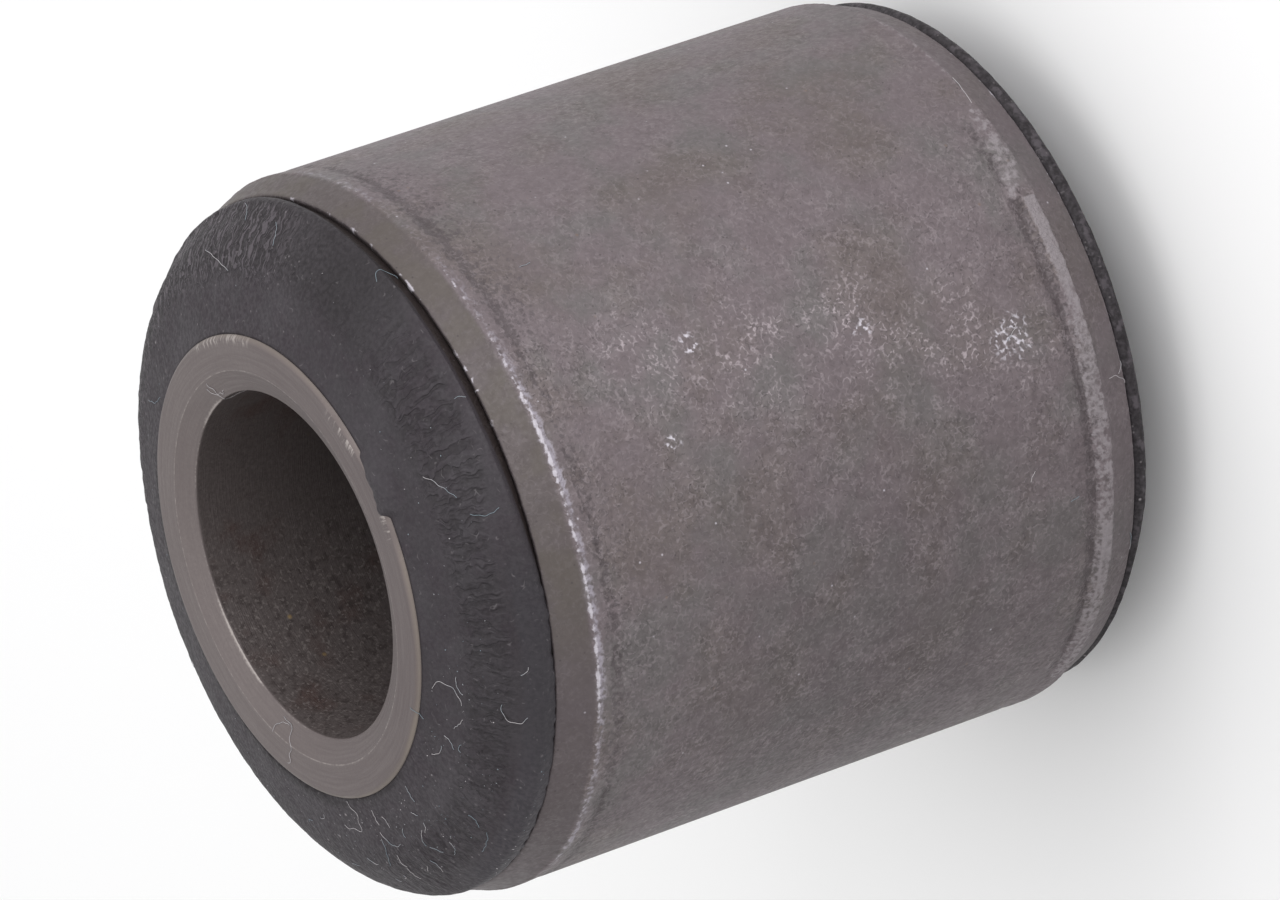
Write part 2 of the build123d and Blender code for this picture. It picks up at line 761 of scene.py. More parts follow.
@dataclass(frozen=True)
class PhosphatedSteel(Finish):
    """The sleeve's warm grey phosphate coat, grainy all over and mottled, with a painted highlight that
    sparkles in its grain down one side.

    Attributes:
        grey: The coat's usual pinkish grey.
        greenish: Its greener grey clouds.
        brownish: Its darker brown clouds.
        light_grain: The light strokes of its crystals.
        dark_grain: The dark strokes between them.
        scraped: The pale rough metal of the die's ridges.
        bright: The bare metal of specks and flecks, and the painted highlight of the sharpest beads.
        pitted: The dark pits of the grooves, also laid as painted shade in the grooves, on the lip's end face
            in the gap and over the shaded side.
        drawn: The smoother band that was drawn over the end.
        drawn_olive: The same band where its coat has an olive tinge.
        rust: The few brown dots.
        frosted: The lilac painted sheen beside the brightest beads.
        sparkling: The patches where a painted highlight makes the grain sparkle.
        sooty: Painted shade over the side that faces -X and -Y.
        flecks: The clusters of white flecks.
    """

    grey: Colour = paint_chip(98, 88, 91)
    greenish: Colour = paint_chip(91, 88, 87)
    brownish: Colour = paint_chip(87, 78, 74)
    light_grain: Colour = paint_chip(170, 159, 163)
    dark_grain: Colour = paint_chip(56, 49, 51)
    scraped: Colour = paint_chip(133, 126, 129)
    bright: Colour = paint_chip(196, 191, 199)
    pitted: Colour = paint_chip(62, 54, 56)
    drawn: Colour = paint_chip(78, 70, 72)
    drawn_olive: Colour = paint_chip(81, 74, 70)
    rust: Colour = paint_chip(112, 90, 74)
    frosted: Colour = paint_chip(148, 142, 152)
    # The effects that the colours follow.
    green_clouds: Mottle = Mottle(6.0, 0.44, 0.66)
    brown_clouds: Mottle = Mottle(7.0, 0.44, 0.66)
    blotches: Mottle = Mottle(1.4, 0.3, 0.7)
    settled: Mottle = Mottle(3.5, 0.38, 0.62)
    grain: Mottle = Mottle(0.42, 0.25, 0.75)
    crumbs: Mottle = Mottle(0.36, 0.32, 0.68)
    light_strokes: Strokes = Strokes(0.52, 0.095, 0.44)
    dark_strokes: Strokes = Strokes(0.5, 0.055, 0.46)
    rust_dots: Specks = Specks(1.1, 0.035, 0.16)
    pores: Specks = Specks(0.5, 0.2, 0.22)
    chips: Specks = Specks(0.8, 0.05, 0.15)
    tufts: Mottle = Mottle(1.1, 0.38, 0.62)
    fleck_strokes: Strokes = Strokes(0.62, 0.12, 0.46)
    sparkling: tuple[Patch, ...] = (
        Patch((5.2, -24.4, 40.0), 5.5),
        Patch((3.4, -24.8, 33.0), 6.5),
        Patch((1.8, -24.9, 25.0), 7.0),
        Patch((0.0, -25.0, 18.0), 6.0),
        Patch((-2.0, -24.9, 13.0), 4.0),
    )
    sooty: Patch = Patch((-23.5, -14.0, 25.0), 37.0)
    flecks: tuple[Patch, ...] = (
        Patch((-1.2, -24.9, 13.8), 2.3),
        Patch((-1.6, -24.9, 13.2), 1.4),
        Patch((2.3, -24.8, 24.2), 1.3),
        Patch((5.2, -24.4, 36.7), 1.2),
        Patch((-0.6, -24.9, 40.7), 1.1),
    )

    def dress(self, surface: Surface) -> Look:
        """Gives the outputs that the surface shader takes.

        Args:
            surface: The material's recipe.

        Returns:
            Its colour, roughness and relief.
        """
        burr, groove, taper, quiet = surface.masks("burr", "groove", "taper", "quiet")
        # Painted highlight: down the side where the lights' reflection runs, the grain is painted to sparkle.
        sparkling = 0.0
        for patch in self.sparkling:
            sparkling = surface.larger(sparkling, surface.lay(patch))
        blotches, grain, crumb = (surface.lay(effect) for effect in (self.blotches, self.grain, self.crumbs))
        # lively is the painted sparkle broken into blotches; it strengthens the grain's light and dark
        # strokes.
        lively = surface.times(sparkling, surface.between(blotches, low=0.1, high=0.8))
        settled = surface.lay(self.settled)
        calm = surface.times(
            surface.graded(taper, bare=1.0, full=0.3), surface.graded(settled, bare=0.5, full=1.0)
        )
        calm = surface.times(calm, surface.graded(quiet, bare=1.0, full=0.65))
        light, dark = surface.lay(self.light_strokes), surface.lay(self.dark_strokes)

        colour = self.clouded(surface, settled)
        loose = surface.minus(crumb, 0.5)
        # The grooves get dark pits and painted shade.
        ploughed = surface.between(surface.plus(groove, surface.times(loose, 0.7)), low=0.25, high=0.75)
        colour = surface.coat(colour, ploughed, self.pitted, share=0.72)
        colour = self.grained(surface, colour, grain, calm, lively)
        # The painted sparkle also lightens the coat a little.
        tone = surface.plus(surface.graded(blotches, bare=0.0, full=0.1), surface.times(sparkling, 0.06))
        colour = surface.coat(colour, calm, self.light_grain, share=tone)
        pale = surface.times(calm, surface.between(lively, low=0.0, high=0.8, at_low=0.2, at_high=0.74))
        colour = surface.coat(colour, light, self.light_grain, share=pale)
        deep = surface.times(calm, surface.graded(lively, bare=0.36, full=0.55))
        colour = surface.coat(colour, dark, self.dark_grain, share=deep)
        colour = surface.coat(colour, surface.lay(self.rust_dots), self.rust, share=0.6)
        colour = surface.coat(colour, surface.lay(self.pores), self.dark_grain, share=0.9)
        colour = surface.coat(colour, surface.lay(self.chips), self.bright, share=0.75)
        colour = self.flecked(surface, colour)
        colour = self.scarred(surface, colour, loose, burr)

        roughness = surface.graded(grain, bare=0.64, full=0.5)
        raised = surface.plus(surface.times(grain, 0.4), surface.times(light, 0.6))
        raised = surface.times(surface.minus(raised, surface.times(dark, 0.5)), calm)
        rough = surface.times(surface.larger(burr, surface.times(groove, 0.5)), crumb)
        height = surface.plus(raised, surface.times(rough, 1.6))
        return colour, roughness, height

    def clouded(self, surface: Surface, settled: Any) -> Socket:
        """Gives the coat's colour, with its clouds, the painted shade of one side and its drawn ends.

        Args:
            surface: The material's recipe.
            settled: Where the crystals lie thicker.

        Returns:
            The colour.
        """
        taper, olive, quiet = surface.masks("taper", "olive", "quiet")
        colour = surface.coat(self.grey, surface.lay(self.green_clouds), self.greenish, share=0.75)
        colour = surface.coat(colour, surface.lay(self.brown_clouds), self.brownish, share=0.65)
        # Painted shade over one side of the sleeve.
        colour = surface.coat(colour, surface.lay(self.sooty), self.pitted, share=0.62)
        colour = surface.coat(colour, quiet, self.pitted, share=0.07)
        colour = surface.coat(colour, taper, self.drawn, share=0.8)
        patchy = surface.graded(settled, bare=0.95, full=0.35)
        return surface.coat(colour, olive, self.drawn_olive, share=patchy)

    @staticmethod
    def grained(surface: Surface, colour: Any, grain: Any, calm: Any, lively: Any) -> Socket:
        """Lightens and darkens a colour by the fine grain.

        Args:
            surface: The material's recipe.
            colour: The colour.
            grain: The grain, from 0 to 1.
            calm: How much of the grain is left, from 0 to 1.
            lively: Where it is stronger: the painted sparkle of a highlight.

        Returns:
            The grained colour.
        """
        swing = surface.times(calm, surface.graded(lively, bare=0.3, full=0.45))
        shade = surface.plus(1.0, surface.times(surface.minus(grain, 0.5), swing))
        grey = surface.add("ShaderNodeCombineColor", {0: shade, 1: shade, 2: shade}).outputs[0]
        return surface.blend(1.0, colour, grey, mode="MULTIPLY")

    def flecked(self, surface: Surface, colour: Any) -> Socket:
        """Lays the clusters of white flecks over a colour.

        Args:
            surface: The material's recipe.
            colour: The colour.

        Returns:
            The flecked colour.
        """
        crooked = surface.lay(self.fleck_strokes)
        tufts = surface.times(surface.minus(surface.lay(self.tufts), 0.5), 0.7)
        for patch in self.flecks:
            spot = surface.lay(patch)
            gathered = surface.between(surface.plus(spot, tufts), low=0.2, high=1.0)
            gathered = surface.times(gathered, surface.between(spot, low=0.0, high=0.2))
            colour = surface.coat(colour, surface.times(gathered, crooked), self.bright, share=0.95)
        return colour

    def scarred(self, surface: Surface, colour: Any, loose: Any, burr: Any) -> Socket:
        """Lays the scraped band, the painted sheen and the painted highlight of the bright beads over a
        colour.

        Args:
            surface: The material's recipe.
            colour: The colour.
            loose: The crumbs, from -0.5 to 0.5.
            burr: Where the metal was scraped.

        Returns:
            The scarred colour.
        """
        glint, frost = surface.masks("glint", "frost")
        crumbly = surface.times(loose, surface.between(burr, low=0.0, high=0.3, at_high=0.75))
        crumbly = surface.times(crumbly, surface.between(burr, low=0.4, high=0.7, at_low=1.0, at_high=0.35))
        band = surface.between(surface.plus(burr, crumbly), low=0.1, high=0.8)
        colour = surface.coat(colour, band, self.scraped, share=0.85)
        # Painted sheen in lilac beside the ridge's brink.
        sheen_band = surface.between(surface.plus(frost, surface.times(loose, 0.5)), low=0.15, high=0.85)
        colour = surface.coat(colour, sheen_band, self.frosted, share=0.85)
        # Painted highlight of the ridge's beads and the lip's specks.
        beads = surface.between(surface.plus(glint, surface.times(loose, 0.45)), low=0.3, high=0.75)
        return surface.coat(colour, beads, self.bright, share=0.75)


@dataclass(frozen=True)
class MouldedRubber(Finish):
    """The ring's dark rubber, dusty and wrinkled where the sleeve squeezes it.

    Attributes:
        body: The rubber's usual purplish black.
        worn: Its greyer clouds.
        crease: The painted shade of its creases and dark lines, also laid over the lower ring.
        fold: The painted highlight on the tops of its folds, also its lighter grain and the lower ring's
            flecks.
        tinted: The greener grey that the body has in patches.
        smooth: The bluish painted sheen on the smooth band of the nose.
        soiled: The brown dirt and painted shade in the gap beside the sleeve.
        dust: The dust that lies on it.
    """

    body: Colour = paint_chip(46, 40, 45)
    worn: Colour = paint_chip(56, 52, 56)
    crease: Colour = paint_chip(24, 20, 22)
    fold: Colour = paint_chip(88, 82, 87)
    tinted: Colour = paint_chip(50, 47, 50)
    smooth: Colour = paint_chip(52, 50, 55)
    soiled: Colour = paint_chip(36, 28, 26)
    dust: Colour = paint_chip(150, 144, 146)
    # The effects that the colours follow.
    clouds: Mottle = Mottle(5.0, 0.4, 0.68)
    tints: Mottle = Mottle(1.6, 0.4, 0.6)
    leather: Mottle = Mottle(0.3, 0.3, 0.7)
    scuffs: Mottle = Mottle(0.8, 0.5, 0.64)
    pleats: Streaks = Streaks(58.0, 1.7, 1.1, 0.36, 0.64, detail=0.8)
    fine_pleats: Streaks = Streaks(104.0, 3.4, 1.0, 0.42, 0.6, detail=1.2)
    powder: Specks = Specks(0.5, 0.3, 0.24)
    grains: Specks = Specks(1.3, 0.16, 0.12)
    threads: Strokes = Strokes(1.0, 0.02, 0.6)

    def dress(self, surface: Surface) -> Look:
        """Gives the outputs that the surface shader takes.

        Args:
            surface: The material's recipe.

        Returns:
            Its colour, roughness and relief.
        """
        wrinkled, crumpled, soiled, dusty = surface.masks("wrinkled", "crumpled", "soiled", "dusty")
        nose, scuffed, crease = surface.masks("nose", "scuffed", "crease")
        leather, pleats, ridges = (
            surface.lay(effect) for effect in (self.leather, self.pleats, self.fine_pleats)
        )
        pulled = surface.maths("SUBTRACT", wrinkled, crumpled, clamp=True)

        colour = surface.blend(surface.lay(self.clouds), self.body, self.worn)
        colour = surface.coat(colour, surface.lay(self.tints), self.tinted, share=0.5)
        # Painted sheen along the smooth nose.
        colour = surface.coat(colour, nose, self.smooth, share=0.6)
        # The lower ring painted darker, with lighter flecks.
        colour = surface.coat(colour, scuffed, self.crease, share=0.85)
        scuffs = surface.times(scuffed, surface.lay(self.scuffs))
        colour = surface.coat(colour, scuffs, self.fold, share=0.5)
        # Painted shade in the creases, between the fine folds and in their splits.
        fine = surface.times(surface.minus(1.0, pleats), pulled)
        split = surface.times(surface.minus(1.0, ridges), crumpled)
        dark = surface.larger(surface.larger(crease, surface.times(fine, 0.65)), surface.times(split, 0.9))
        colour = surface.coat(colour, dark, self.crease, share=0.85)
        # Painted highlight on the tops of the fine folds.
        lit = surface.times(surface.maths("POWER", ridges, 2.2), crumpled)
        colour = surface.coat(colour, lit, self.fold, share=0.8)
        colour = surface.coat(colour, leather, self.fold, share=surface.graded(dusty, bare=0.1, full=0.24))
        # Brown dirt and painted shade in the gap over the sleeve's lip.
        colour = surface.coat(colour, soiled, self.soiled, share=0.9)
        powder, grains, threads = (
            surface.lay(effect) for effect in (self.powder, self.grains, self.threads)
        )
        colour = surface.coat(colour, powder, self.dust, share=surface.graded(dusty, bare=0.08, full=0.42))
        colour = surface.coat(colour, grains, self.dust, share=surface.graded(dusty, bare=0.25, full=0.85))
        colour = surface.coat(colour, threads, self.dust, share=0.2)

        roughness = surface.graded(leather, bare=0.68, full=0.56)
        folds = surface.times(surface.times(pleats, 1.5), pulled)
        folds = surface.plus(folds, surface.times(surface.times(ridges, 2.4), crumpled))
        height = surface.plus(folds, surface.times(leather, 0.35))
        return colour, roughness, height


@dataclass(frozen=True)
class MachinedSteel(Finish):
    """The tube's turned steel: pale rings on its ends, dark scale in its bore.

    Attributes:
        turned: The end face's usual colour.
        turned_dark: The shade between its tool marks.
        rim: The golden brown of its outer edge.
        edge: The bright edge of the lead-in and of burrs.
        scale: The dark oxide of the bore.
        scale_red: The redder clouds of that oxide.
        scale_dark: The soot between its crystals.
        scale_light: The lighter dots on it.
        gold: The few golden dots on it.
    """

    turned: Colour = paint_chip(104, 95, 94)
    turned_dark: Colour = paint_chip(95, 86, 86)
    # rim: The golden brown of its outer edge, with a painted highlight along that edge.
    rim: Colour = paint_chip(132, 122, 113)
    # edge: The painted highlight on the lead-in's and the bore's edges, and the bright metal of burrs.
    edge: Colour = paint_chip(168, 160, 156)
    scale: Colour = paint_chip(88, 80, 79)
    scale_red: Colour = paint_chip(80, 64, 61)
    scale_dark: Colour = paint_chip(60, 52, 51)
    scale_light: Colour = paint_chip(132, 124, 121)
    gold: Colour = paint_chip(160, 135, 90)
    # The effects that the colours follow.
    rings: Streaks = Streaks(2.2, 4.0, 0.15, 0.3, 0.7)
    fine_rings: Streaks = Streaks(5.0, 13.0, 0.05, 0.35, 0.65)
    fringe: Streaks = Streaks(90.0, 0.8, 0.2, 0.5, 0.6)
    clouds: Mottle = Mottle(4.0, 0.5, 0.72)
    grain: Mottle = Mottle(0.24, 0.3, 0.7)
    flakes: Strokes = Strokes(0.42, 0.12, 0.53)
    soot: Mottle = Mottle(0.55, 0.5, 0.66)
    golden_dots: Specks = Specks(1.6, 0.05, 0.16)

    def dress(self, surface: Surface) -> Look:
        """Gives the outputs that the surface shader takes.

        Args:
            surface: The material's recipe.

        Returns:
            Its colour, roughness and relief.
        """
        bore, edge, rim, torn, polish = surface.masks("bore", "edge", "rim", "torn", "polish")
        rings, fine_rings, grain = (
            surface.lay(effect) for effect in (self.rings, self.fine_rings, self.grain)
        )

        turned = surface.plus(surface.times(rings, 0.7), surface.times(fine_rings, 0.3))
        colour = surface.blend(turned, self.turned_dark, self.turned)
        # The face lighter towards one turn and darker opposite.
        colour = surface.coat(colour, polish, self.scale_light, share=0.25)
        colour = surface.coat(colour, grain, self.turned_dark, share=0.35)
        # Golden edge, painted lighter as a highlight.
        colour = surface.coat(colour, rim, self.rim, share=0.8)
        colour = surface.blend(bore, colour, self.oxidised(surface, grain))
        # Painted highlight on the edges, with the bright fringe of the flash and the nicks.
        bright = surface.between(surface.plus(edge, surface.times(grain, 0.3)), low=0.35, high=1.0)
        bright = surface.larger(bright, surface.times(torn, surface.lay(self.fringe)))
        colour = surface.coat(colour, bright, self.edge, share=0.85)

        roughness = surface.graded(turned, bare=0.54, full=0.42)
        height = surface.plus(surface.times(fine_rings, 0.5), surface.times(grain, 0.5))
        return colour, roughness, height

    def oxidised(self, surface: Surface, grain: Any) -> Socket:
        """Gives the colour of the bore's oxide, speckled most on its open side.

        Args:
            surface: The material's recipe.
            grain: The fine grain.

        Returns:
            The colour.
        """
        (open_side,) = surface.masks("open_side")
        visible = surface.graded(open_side, bare=0.22, full=1.05)
        oxide = surface.blend(surface.lay(self.clouds), self.scale, self.scale_red)
        oxide = surface.coat(oxide, grain, self.scale_light, share=0.2)
        for effect, paint, share in (
            (self.soot, self.scale_dark, 0.55),
            (self.flakes, self.scale_light, 0.6),
            (self.golden_dots, self.gold, 0.85),
        ):
            oxide = surface.coat(oxide, surface.lay(effect), paint, surface.times(visible, share))
        return oxide


@dataclass(frozen=True)
class Lint(Finish):
    """The pale fluff and dust that the bush has picked up.

    Attributes:
        pale: The fluff's usual colour.
        blue: Its bluer lengths.
    """

    pale: Colour = paint_chip(178, 173, 175)
    blue: Colour = paint_chip(122, 134, 142)
    tint: Mottle = Mottle(4.0, 0.42, 0.58)
    fuzz: Mottle = Mottle(0.1, 0.3, 0.7)

    def dress(self, surface: Surface) -> Look:
        """Gives the outputs that the surface shader takes.

        Args:
            surface: The material's recipe.

        Returns:
            Its colour, roughness and relief.
        """
        fuzz = surface.lay(self.fuzz)
        colour = surface.blend(surface.lay(self.tint), self.pale, self.blue)
        return colour, surface.graded(fuzz, bare=0.9, full=0.7), fuzz


# --- The bush's pieces ---


@dataclass(frozen=True)
class Ridge:
    """The raised band that the die pushed up where it stopped, with the groove that it ploughed inboard.

    Stations count from the bush's middle towards the end.

    Attributes:
        groove_start: Where the groove begins.
        groove_bottom: Where it is deepest.
        groove_depth: Its depth.
        band_start: Where the band begins to rise.
        crest: Where the band is highest first.
        brink: Where it falls off again.
        foot: Where the drawn end begins.
        band_rows: Rows of faces across the band's crest.
    """

    groove_start: float
    groove_bottom: float
    groove_depth: float
    band_start: float
    crest: float
    brink: float
    foot: float
    band_rows: int


@dataclass(frozen=True)
class Lump:
    """A raised lump of burr.

    Attributes:
        turn: Where its top is, round the axis.
        station: Where its top is, along the axis.
        width: Half its size round the axis, in millimetres.
        length: Half its size along the axis.
    """

    turn: float
    station: float
    width: float
    length: float


@dataclass(frozen=True)
class Scrape:
    """A stretch of a ridge that is scraped bright.

    Attributes:
        turn: Middle of the stretch.
        arc: How far it reaches to both sides, in degrees.
        share: How bright it is.
    """

    turn: float
    arc: float
    share: float

    def at(self, turn: Mask) -> Mask:
        """Gives how bright it is at each turn."""
        return self.share * hump(turn, self.turn, self.arc)


@dataclass
class TurnedPiece:
    """A piece that is turned from its section and then worked.

    Attributes:
        steps: Faces round the axis.
    """

    NAME: ClassVar[str]

    steps: int

    def section(self) -> list[Corner]:
        """Gives the corners of the closed section, in order."""
        raise NotImplementedError

    def work(self, skin: Skin) -> None:
        """Moves and paints the points of the turned piece's skin."""
        raise NotImplementedError

    def build(self, lathe: Lathe) -> Piece:
        """Turns the piece and works it.

        Args:
            lathe: The lathe.

        Returns:
            The finished mesh.
        """
        piece = lathe.turn(lathe.draw(self.NAME, self.section()), self.steps)
        skin = Skin(piece, lathe.middle)
        self.work(skin)
        skin.apply()
        return piece


@dataclass
class OuterSleeve(TurnedPiece):
    """The steel sleeve, with its ends drawn in over the rubber and a ragged ridge where the die stopped.

    Attributes:
        land_radius: Radius between the ridges.
        crest_radius: Radius of the ridges' crests, the sleeve's largest.
        foot_radius: Radius where the drawn end begins.
        lip_radius: Radius of the drawn end.
        lip_station: Where the drawn end stops.
        lip_rounding: How far the lip's outer edge is worn round.
        end_face_run: How far the end face goes inwards.
        end_face_drop: How far it leans back.
        inner_radius: Radius of the bore that the rubber is bonded to.
        inner_knee: Where that bore begins to close.
        half_wall: Half the thickness of the wall.
        roll_slope: How fast the wall's middle comes in past the crest.
        upper: The upper end's ridge.
        lower: The lower end's ridge.
        lumps: Lumps of burr beside the lower ridge.
        lump_height: How far a lump stands up.
        scrapes: Bright stretches of the upper ridge.
        polished: The brightest stretch of the lower ridge.
    """

    NAME = "steel_sleeve"

    steps: int = 900
    land_radius: float = 24.88
    crest_radius: float = 24.99
    foot_radius: float = 24.84
    lip_radius: float = 24.0
    lip_station: float = 23.25
    lip_rounding: float = 0.2
    end_face_run: float = 1.88
    end_face_drop: float = 0.7
    inner_radius: float = 23.0
    inner_knee: float = 20.2
    half_wall: float = 1.0
    roll_slope: float = 0.36
    upper: Ridge = Ridge(18.6, 19.2, 0.1, 19.7, 20.5, 20.76, 20.92, 3)
    lower: Ridge = Ridge(18.5, 19.25, 0.2, 19.75, 19.98, 20.76, 20.92, 6)
    lumps: tuple[Lump, ...] = (
        Lump(-56.5, -20.35, 0.6, 0.35),
        Lump(-59.3, -20.1, 0.95, 0.6),
        Lump(-61.6, -20.35, 0.7, 0.42),
        Lump(-64.4, -20.15, 1.15, 0.75),
        Lump(-66.6, -20.45, 0.8, 0.5),
        Lump(-69.2, -19.85, 0.95, 0.7),
        Lump(-71.6, -19.35, 0.5, 0.4),
    )
    lump_height: float = 0.11
    scrapes: tuple[Scrape, ...] = (
        Scrape(-20, 14, 0.3),
        Scrape(-57, 8, 0.25),
        Scrape(-73, 7, 0.5),
        Scrape(-88, 10, 1),
        Scrape(-105, 8, 0.55),
        Scrape(-121, 11, 0.9),
        Scrape(-140, 8, 0.4),
        Scrape(-157, 10, 0.65),
    )
    polished: Scrape = Scrape(-81, 13, 0.45)
    # Arcs of the ends, in degrees. The lower band and its groove start with a square step.
    lower_band: Arc = Arc(-323.3, -73.3, 0.5)
    lower_groove: Arc = Arc(-323.3, -72.9, 0.3)
    lump_groove: Arc = Arc(-73.3, -59.3, 4, share=0.6)
    thin_line: Arc = Arc(-60, -28, 4, share=0.5)
    worn_away: Arc = Arc(-220, -165, 14, share=0.7)
    smeared: Arc = Arc(-158, -98, 12, share=0.45)
    quiet: Arc = Arc(-56, 30, 20)
    olive: Arc = Arc(-105, 60, 25)
    chipped_lip: Arc = Arc(-85, -15, 12)
    chipped_most: Arc = Arc(-72, -46, 8, share=0.5)
    beaded: Arc = Arc(-170, -28, 12)
    beads_worn: Arc = Arc(-175, -132, 8, share=0.45)
    # How uneven the ends are: waves are long, and grit and pits are fine.
    ridge_wave: Wave = Wave(13, arc=9.0, depth=0.15)
    ridge_grit: Wave = Wave(11, arc=1.1, pitch=0.25, depth=0.2)
    groove_wave: Wave = Wave(13, arc=14.0, depth=0.3, shift=40.0)
    groove_grit: Wave = Wave(12, arc=1.2, pitch=0.25, depth=0.4)
    band_wave: Wave = Wave(13, arc=11.0, pitch=0.8, depth=0.3)
    wander_wave: Wave = Wave(13, arc=12.0, depth=0.05)
    fine_jitter: Wave = Wave(12, arc=0.9, depth=0.08)
    bead_jitter: Wave = Wave(11, arc=2.6, depth=0.06)
    nicks: Wave = Wave(12, arc=1.6, depth=0.03)
    lip_chips: Wave = Wave(11, arc=0.75, pitch=0.3, shift=7.0)
    bead_row: Wave = Wave(12, arc=1.0, shift=3.0)
    pits: Wave = Wave(12, arc=0.55, pitch=0.3)

    def half_section(self, ridge: Ridge) -> list[Corner]:
        """Gives the corners of one half, from the middle of the outside to the middle of the bore.

        Args:
            ridge: The half's ridge.

        Returns:
            The corners, all above the middle.
        """
        return [
            Corner(self.land_radius, ridge.groove_start, rows=6),
            Corner(self.land_radius - ridge.groove_depth, ridge.groove_bottom, rows=6),
            Corner(self.land_radius, ridge.band_start, rows=6),
            Corner(self.crest_radius, ridge.crest, rows=ridge.band_rows),
            Corner(self.crest_radius, ridge.brink, rows=3),
            Corner(self.foot_radius, ridge.foot, rows=13),
            Corner(self.lip_radius, self.lip_station, rounding=self.lip_rounding, rows=3),
            Corner(self.lip_radius - self.end_face_run, self.lip_station - self.end_face_drop),
            Corner(self.inner_radius, self.inner_knee, rows=2),
        ]

    def section(self) -> list[Corner]:
        """Gives the section's corners, up the outside, down the bore and round again.

        Returns:
            The corners.
        """
        flipped = list(reversed(self.half_section(self.lower)))
        lower = [
            Corner(corner.radius, -corner.station, corner.rounding, before.rows)
            for corner, before in zip(flipped, flipped[1:])
        ]
        start = Corner(self.land_radius, -self.lower.groove_start, rows=8)
        return [start, *self.half_section(self.upper), *lower]

    def work(self, skin: Skin) -> None:
        """Works the sleeve's ends.

        Args:
            skin: The sleeve's skin.
        """
        outside = self.outside(skin)
        scraped = sum(scrape.at(skin.turn) for scrape in self.scrapes)
        burr, groove = self.work_ridges(skin, outside, scraped)
        burr = self.raise_lumps(skin, outside, burr)
        self.wander(skin, outside)
        self.paint_ridges(skin, outside, burr, groove)
        self.paint_ends(skin, outside, scraped)

    def of_end(self, skin: Skin, name: str) -> Mask:
        """Gives each point one of its own end's ridge's places."""
        return np.where(skin.upper, getattr(self.upper, name), getattr(self.lower, name))

    def outside(self, skin: Skin) -> Mask:
        """Says of each point whether it is on the sleeve's outside."""
        past_crest = np.maximum(0.0, skin.reach - self.of_end(skin, "crest"))
        return skin.radius > self.inner_radius + self.half_wall - past_crest * self.roll_slope

    def work_ridges(self, skin: Skin, outside: Mask, scraped: Mask) -> tuple[Mask, Mask]:
        """Makes the ridges and grooves as ragged as the die left them.

        Args:
            skin: The sleeve's skin.
            outside: Which points are on the outside.
            scraped: How bright the upper ridge is scraped.

        Returns:
            Two masks: how much burr each point has, and how much of its groove is left.
        """
        turn, reach, upper = skin.turn, skin.reach, skin.upper
        tall = np.clip(skin.radius - self.land_radius, 0.0, None) * outside
        inboard = reach < self.of_end(skin, "crest")
        deep = np.clip(self.land_radius - skin.radius, 0.0, None) * outside * inboard
        left = 1.0 - self.worn_away.at(turn)

        lower_ridge = self.lower_band.at(turn) * left + self.thin_line.at(turn) * rise(20.4, 20.7, reach)
        ridge = np.where(upper, 0.5 + 0.4 * scraped + self.ridge_wave.at(turn, reach), lower_ridge)
        ridge = np.clip(ridge * (0.8 + self.ridge_grit.at(turn, skin.station)), 0.0, 1.0)
        lower_groove = np.maximum(self.lower_groove.at(turn) * left, self.lump_groove.at(turn))
        groove = np.where(upper, 0.7 + self.groove_wave.at(turn, reach), lower_groove)
        groove = np.clip(groove * (1.0 + self.groove_grit.at(turn, skin.station)), 0.0, 1.4)
        skin.radius = skin.radius - tall * (1 - ridge) + deep * (1 - groove)

        burr = tall / (self.crest_radius - self.land_radius) * ridge
        lower_bright = 0.6 + self.band_wave.at(turn, reach) + self.polished.at(turn)
        burr = burr * np.where(upper, 0.3 + 0.35 * scraped, lower_bright)
        broad = rise(19.35, 19.6, reach) * (1.0 - rise(20.7, 20.85, reach)) * outside * ~upper
        return np.maximum(burr, broad * self.smeared.at(turn)), groove

    def raise_lumps(self, skin: Skin, outside: Mask, burr: Mask) -> Mask:
        """Raises the lumps of burr beside the lower ridge.

        Args:
            skin: The sleeve's skin.
            outside: Which points are on the outside.
            burr: How much burr each point has.

        Returns:
            The burr with the lumps.
        """
        for lump in self.lumps:
            arc = np.radians(skin.turn - lump.turn) * self.land_radius
            bulge = hump(arc, 0.0, lump.width) * hump(skin.station, lump.station, lump.length) * outside
            skin.radius = np.minimum(skin.radius + self.lump_height * bulge, self.crest_radius)
            burr = np.maximum(burr, 0.5 * rise(0.0, 0.9, bulge))
        return burr

    def wander(self, skin: Skin, outside: Mask) -> None:
        """Lets the ridges and lips wander along the sleeve.

        Args:
            skin: The sleeve's skin.
            outside: Which points are on the outside.
        """
        turn, reach = skin.turn, skin.reach
        upper_tilt = 0.33 * np.cos(np.radians(turn + 15.0))
        lower_tilt = 0.05 * np.cos(np.radians(turn + 60.0))
        tilt = np.where(skin.upper, upper_tilt, lower_tilt)
        ends = rise(15.0, 18.5, reach) * (1.0 - rise(21.2, 23.0, reach)) * outside
        wandering = (tilt + self.wander_wave.at(turn, reach)) * ends
        edge = hump(reach, self.of_end(skin, "foot") - 0.06, width=0.16) * outside
        jitter = self.fine_jitter.at(turn, reach) + self.bead_jitter.at(turn, reach)
        lip = hump(reach, self.lip_station, width=0.3) * outside
        moved = wandering + jitter * edge + self.nicks.at(turn, reach) * lip
        skin.station = skin.station + np.sign(skin.station) * moved

